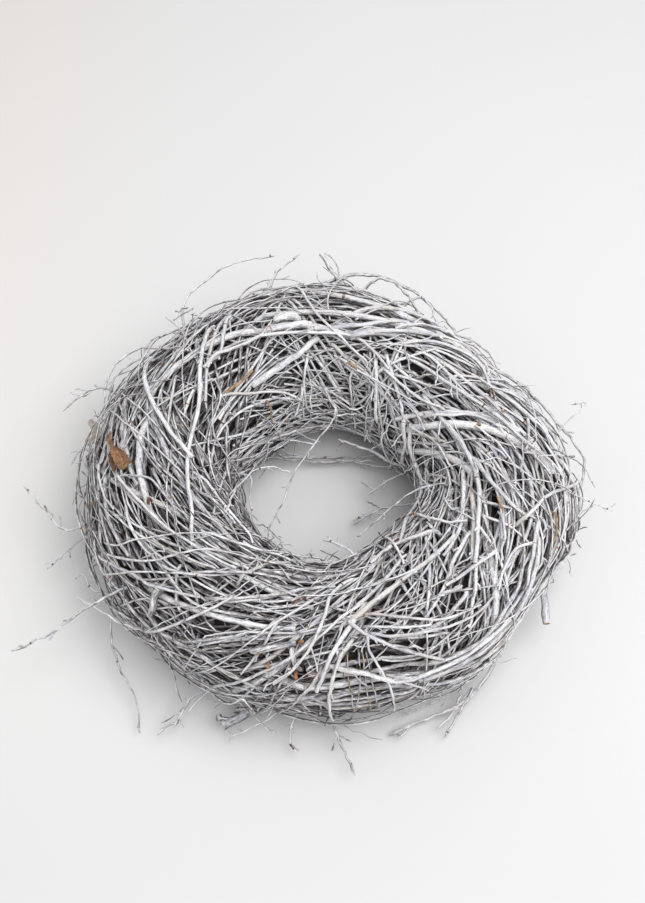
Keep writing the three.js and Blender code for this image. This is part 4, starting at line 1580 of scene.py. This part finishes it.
FILL_LAYER = dict(
    ALONG, length=0.04, rings=7, sides=5, paint=(0.4, 0.8), stiffness=0, tuck=0.001, spray=2,
    kink=0.015, gap_below=0.012, below_top=0.005)
FINE_LAYER = dict(
    slant=20, reversed_share=0.4, straightness=(0.0, 0.4), length=0.13, rings=24, sides=5,
    paint=(0.55, 1.0), stiffness=3, tuck=0.006, lift=0.003, spray=3, kink=0.06, below_top=0.001)
LOOP_LAYER = dict(
    slant=26, reversed_share=0.4, straightness=(0.0, 0.6), length=0.15, rings=24, sides=5,
    paint=(0.7, 1.0), stiffness=6, tuck=0.012, lift=0.002, arch=0.004, spray=1, kink=0.06,
    turns=(-35, 200), below_top=-0.002)
RIM_LOOPS = dict(
    LOOP_LAYER, slant=22, straightness=(0.2, 0.8), length=0.12, lift=0.004, arch=0.008,
    turns=(-30, 35))


# Operators

class WREATH_OT_bunches(bpy.types.Operator):
    """Lays the twigs of the twelve bunches, from the inner ones, darker partly as painted shade, to
    those that arch over
    """

    bl_idname = "wreath.bunches"
    bl_label = "Lay the bunches"

    def execute(self, context):
        random = np.random.default_rng(20)
        twigs = sizes()
        pile = Pile(shape().core_depth + PILE_START)

        def layer(count, thickness, settings):
            return twig_layer(random, pile, count, thickness, **settings)

        def placed(listed, **settings):
            return placed_twigs(random, pile, listed, **settings)

        half_cover = twigs.cover_count // 2
        inner = layer(twigs.inner_count, twigs.inner_thickness, INNER_LAYER)
        deep_fill = layer(twigs.fill_count, twigs.inner_thickness, DEEP_FILL)
        under = layer(half_cover, twigs.cover_thickness, UNDER_LAYER)
        rods = layer(twigs.rod_count, twigs.rod_thickness, ROD_LAYER)
        below_wire = placed(RODS_BELOW_WIRE, lift=-0.0025, paint=(0.6, 0.75))
        pile.wire = wind(random, pile)
        pile.hold_clear(*WIRE_CLEARING, CLEARING_HEIGHT)
        cover = layer(half_cover, twigs.cover_thickness, COVER_LAYER)
        fill = layer(twigs.fill_count, twigs.cover_thickness, FILL_LAYER)
        thick = [listed for listed in BURIED_TWIGS if listed[0] > LEADING_ROD]
        leading = placed(thick, tip_tuck=0.002)
        rim_rods = placed(RIM_RODS, lift=0.001, paint=(0.65, 0.95), tip_tuck=0.006)
        pile.hold_clear(*STUB_CLEARING, CLEARING_HEIGHT)
        fine = layer(twigs.fine_count, twigs.fine_thickness, FINE_LAYER)
        slim = [listed for listed in BURIED_TWIGS if listed[0] <= LEADING_ROD]
        over = placed(slim, lift=0.0015)
        stubs = placed(STUBS, lift=0.002, rings=SHORT_RINGS, paint=(0.6, 0.75))
        topmost = placed(TOPMOST_TWIGS, lift=0.003, paint=(0.85, 1.0))
        loops = layer(twigs.loop_count // 2, twigs.fine_thickness, LOOP_LAYER)
        rim_loops = layer(twigs.loop_count, twigs.fine_thickness, RIM_LOOPS)
        pile.hold_clear(*WIRE_CLEARING, -CLEARING_HEIGHT)
        pile.hold_clear(*STUB_CLEARING, -CLEARING_HEIGHT)

        layers = [
            inner, deep_fill, under, rods, leading, rim_rods, stubs, fill, cover, over, topmost,
            fine, loops, rim_loops, below_wire]
        shoots_to_a_twig = (
            (under, 0.2), (cover, 0.5), (fine, 0.3), (loops, 0.8), (rim_loops, 0.8), (rods, 0.5),
            (leading, 0.8), (over, 0.7), (topmost, 1.0), (rim_rods, 0.4))
        for parents, share in shoots_to_a_twig:
            count = int(share * len(parents.radii))
            layers += [
                side_shoots(random, parents, count, twigs.shoot_length, twigs.fine_thickness),
                side_shoots(
                    random, parents, int(SPURS_TO_A_SHOOT * count), twigs.spur_length,
                    twigs.cover_thickness, rings=4),
                side_shoots(
                    random, parents, count // 2, SLIM_SHOOT * twigs.shoot_length,
                    SLIM_SHOOT * twigs.fine_thickness, climbs=(30, 80))]
        materials = (whitewashed_bark(), cut_wood())
        for bunch in range(BUNCHES):
            skins = [tube_skin(kind, kind.owner == bunch) for kind in layers]
            number = f"{bunch + 1:02d}"
            wreath_piece(
                f"twigs_{number}", [shade_core_skin(bunch), *skins], [f"bunch_{number}"], materials)
        return {"FINISHED"}


class WREATH_OT_winding(bpy.types.Operator):
    """Winds the binding wire round the neck at the front, over the twigs laid so far"""

    bl_idname = "wreath.winding"
    bl_label = "Wind the wire"

    def execute(self, context):
        angles, turns, depth = pile_so_far().wire
        radii = wire_radii(turns)[None]
        centres = off_floor(in_bundle(angles, turns, depth)[None], radii)
        wire = Twigs(
            centres, radii, outwards_at(angles, turns)[None], paint=np.full(1, 0.5),
            tone=np.zeros(1), scab=np.zeros(radii.shape), owner=np.zeros(1, int), sides=8)
        wreath_piece(
            "winding", [tube_skin(wire)], ["front_winding"],
            (painted_brass(), brass("Wire end")))
        return {"FINISHED"}


class WREATH_OT_leaf(bpy.types.Operator):
    """Lays the curled brown leaf, and a small painted one, on the twigs at the left"""

    bl_idname = "wreath.leaf"
    bl_label = "Lay the leaf"

    def execute(self, context):
        random = np.random.default_rng(11)

        def seat(angle, turn, height):
            return in_bundle(angle, turn, shape().fullest_depth + height)

        def facing(angle, turn, share):
            return unit(share * outwards_at(angle, turn) + TOWARDS)

        place, faces = seat(*BROWN_LEAF_AT), facing(*BROWN_LEAF_FACES)
        behind = place - FOLD_BEHIND * outwards_at(*BROWN_LEAF_FACES[:2])
        brown = (
            leaf_blade(random, BROWN_LEAF, place, faces),
            leaf_blade(random, BROWN_FOLD, behind, faces, fold_shade=1.0))
        small = leaf_blade(
            random, PAINTED_LEAF, seat(*PAINTED_LEAF_AT), facing(*PAINTED_LEAF_FACES))
        leaves = (
            ("curled_leaf", brown, ["dry_leaf"], leaf_skin("Dry leaf", painted=False)),
            ("painted_leaf", [small], [], leaf_skin("Painted leaf", painted=True)))
        for name, skins, replaced, material in leaves:
            wreath_piece(name, skins, replaced, [material])
        return {"FINISHED"}


class WREATH_OT_splinters(bpy.types.Operator):
    """Lays short splinters of bare wood, scabs and orange ends on top of the bunches"""

    bl_idname = "wreath.splinters"
    bl_label = "Lay the splinters"

    def execute(self, context):
        random = np.random.default_rng(5)
        kinds = (
            ("tan_splinters", TAN_SPLINTERS, cut_wood(), 0.25, 0.006),
            ("red_scabs", RED_SCABS, whitewashed_bark(), 0.25, 0.006),
            ("orange_ends", ORANGE_ENDS, whitewashed_bark(), 0.8, 0.001),
        )
        for name, listed, material, tone, tuck in kinds:
            splinters = placed_twigs(
                random, pile_so_far(), listed, lift=0.002, rings=SHORT_RINGS, root_tuck=tuck)
            splinters.scab[:] = 1.0
            splinters.tone[:] = tone
            wreath_piece(name, [tube_skin(splinters)], [], (material, cut_wood()))
        return {"FINISHED"}


class WREATH_OT_strays(bpy.types.Operator):
    """Grows the twigs that stand out of the ring, with their forks, shoots and buds"""

    bl_idname = "wreath.strays"
    bl_label = "Grow the stray twigs"

    def execute(self, context):
        random = np.random.default_rng(31)
        materials = (whitewashed_bark(), cut_wood())
        for branch in STRAYS:
            skins = branch_skins(random, branch)
            wreath_piece(f"fine_{branch.name}", skins, [f"stray_{branch.name}"], materials)
        for name, branches in (("hole_twigs", HOLE_TWIGS), ("rim_twigs", RIM_TWIGS)):
            skins = [skin for branch in branches for skin in branch_skins(random, branch)]
            wreath_piece(name, skins, [], materials)
        return {"FINISHED"}


class WREATH_OT_inside(bpy.types.Operator):
    """Finishes the hoop and the neck wires, which are held inside"""

    bl_idname = "wreath.inside"
    bl_label = "Finish the hoop and neck wires"

    def execute(self, context):
        finishes = {"hoop": bare_rod(), "neck_wire": brass("Neck wire")}
        for name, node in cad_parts.items():
            for start, material in finishes.items():
                if name.startswith(start):
                    node.data.materials.clear()
                    node.data.materials.append(material)
        return {"FINISHED"}


class WREATH_OT_stage(bpy.types.Operator):
    """Sets the pale floor, the soft lights and the camera"""

    bl_idname = "wreath.stage"
    bl_label = "Set the stage"

    def execute(self, context):
        settings = stage_settings()
        middle = Vector(ring_middle())

        def aimed(name, data, place, looking):
            """Links a lamp or camera that looks one way."""
            item = bpy.data.objects.new(name, data)
            item.location = place
            item.rotation_euler = looking.to_track_quat("-Z", "Y").to_euler()
            context.scene.collection.objects.link(item)
            return item

        bpy.ops.mesh.primitive_circle_add(
            vertices=FLOOR_CORNERS, radius=FLOOR_RADIUS, fill_type="NGON", location=(0, 0, 0))
        floor = context.object
        floor.name = "floor"
        floor.data.materials.append(pale_floor())

        world = bpy.data.worlds.new("Pale room")
        world.use_nodes = True
        background = world.node_tree.nodes["Background"]
        background.inputs["Color"].default_value = (1.0, 1.0, 1.0, 1.0)
        background.inputs["Strength"].default_value = settings.room_strength
        context.scene.world = world

        # Each one's place from the middle, how wide and deep it is, and its power.
        softboxes = (
            ("Softbox", (0.65, -0.4, settings.softbox_height), (2.0, 1.6), settings.softbox_power),
            ("Fill", (-1.3, 0.2, 0.9), (1.6, 1.2), settings.fill_power),
        )
        for name, place, (wide, deep), power in softboxes:
            lamp = bpy.data.lights.new(name, "AREA")
            lamp.shape = "RECTANGLE"
            lamp.size = wide
            lamp.size_y = deep
            lamp.energy = power
            aimed(name, lamp, middle + Vector(place), -Vector(place))

        height = settings.camera_height
        back = Vector((0, -math.cos(height), math.sin(height)))
        camera = bpy.data.cameras.new("Camera")
        camera.lens = settings.lens
        camera.sensor_width = SENSOR_WIDTH
        place = middle + AIM + back * settings.camera_distance
        context.scene.camera = aimed("Camera", camera, place, -back)
        context.scene.view_settings.view_transform = "Standard"
        return {"FINISHED"}


STEPS = (
    WREATH_OT_bunches,
    WREATH_OT_winding,
    WREATH_OT_leaf,
    WREATH_OT_splinters,
    WREATH_OT_strays,
    WREATH_OT_inside,
    WREATH_OT_stage,
)


class WREATH_PT_panel(bpy.types.Panel):
    """Lists the steps in the 3D view's sidebar"""

    bl_label = "Whitewashed wreath"
    bl_space_type = "VIEW_3D"
    bl_region_type = "UI"
    bl_category = "Wreath"

    def draw(self, context):
        for step in STEPS:
            self.layout.operator(step.bl_idname)


GROUPS = {
    "wreath_shape": WreathShape,
    "wreath_twigs": TwigSizes,
    "wreath_colours": WreathColours,
    "wreath_stage": StageSettings,
}


def register():
    for group in (*GROUPS.values(), *STEPS, WREATH_PT_panel):
        bpy.utils.register_class(group)
    for name, group in GROUPS.items():
        setattr(bpy.types.Scene, name, PointerProperty(type=group))


def unregister():
    for name in GROUPS:
        delattr(bpy.types.Scene, name)
    for group in (WREATH_PT_panel, *reversed(STEPS), *reversed(GROUPS.values())):
        bpy.utils.unregister_class(group)


def run_step(step):
    family, name = step.bl_idname.split(".")
    if getattr(getattr(bpy.ops, family), name)() != {"FINISHED"}:
        raise RuntimeError(f"{step.bl_label} didn't finish")


def main():
    register()
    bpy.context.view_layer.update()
    for step in STEPS:
        run_step(step)


if __name__ == "__main__":
    main()
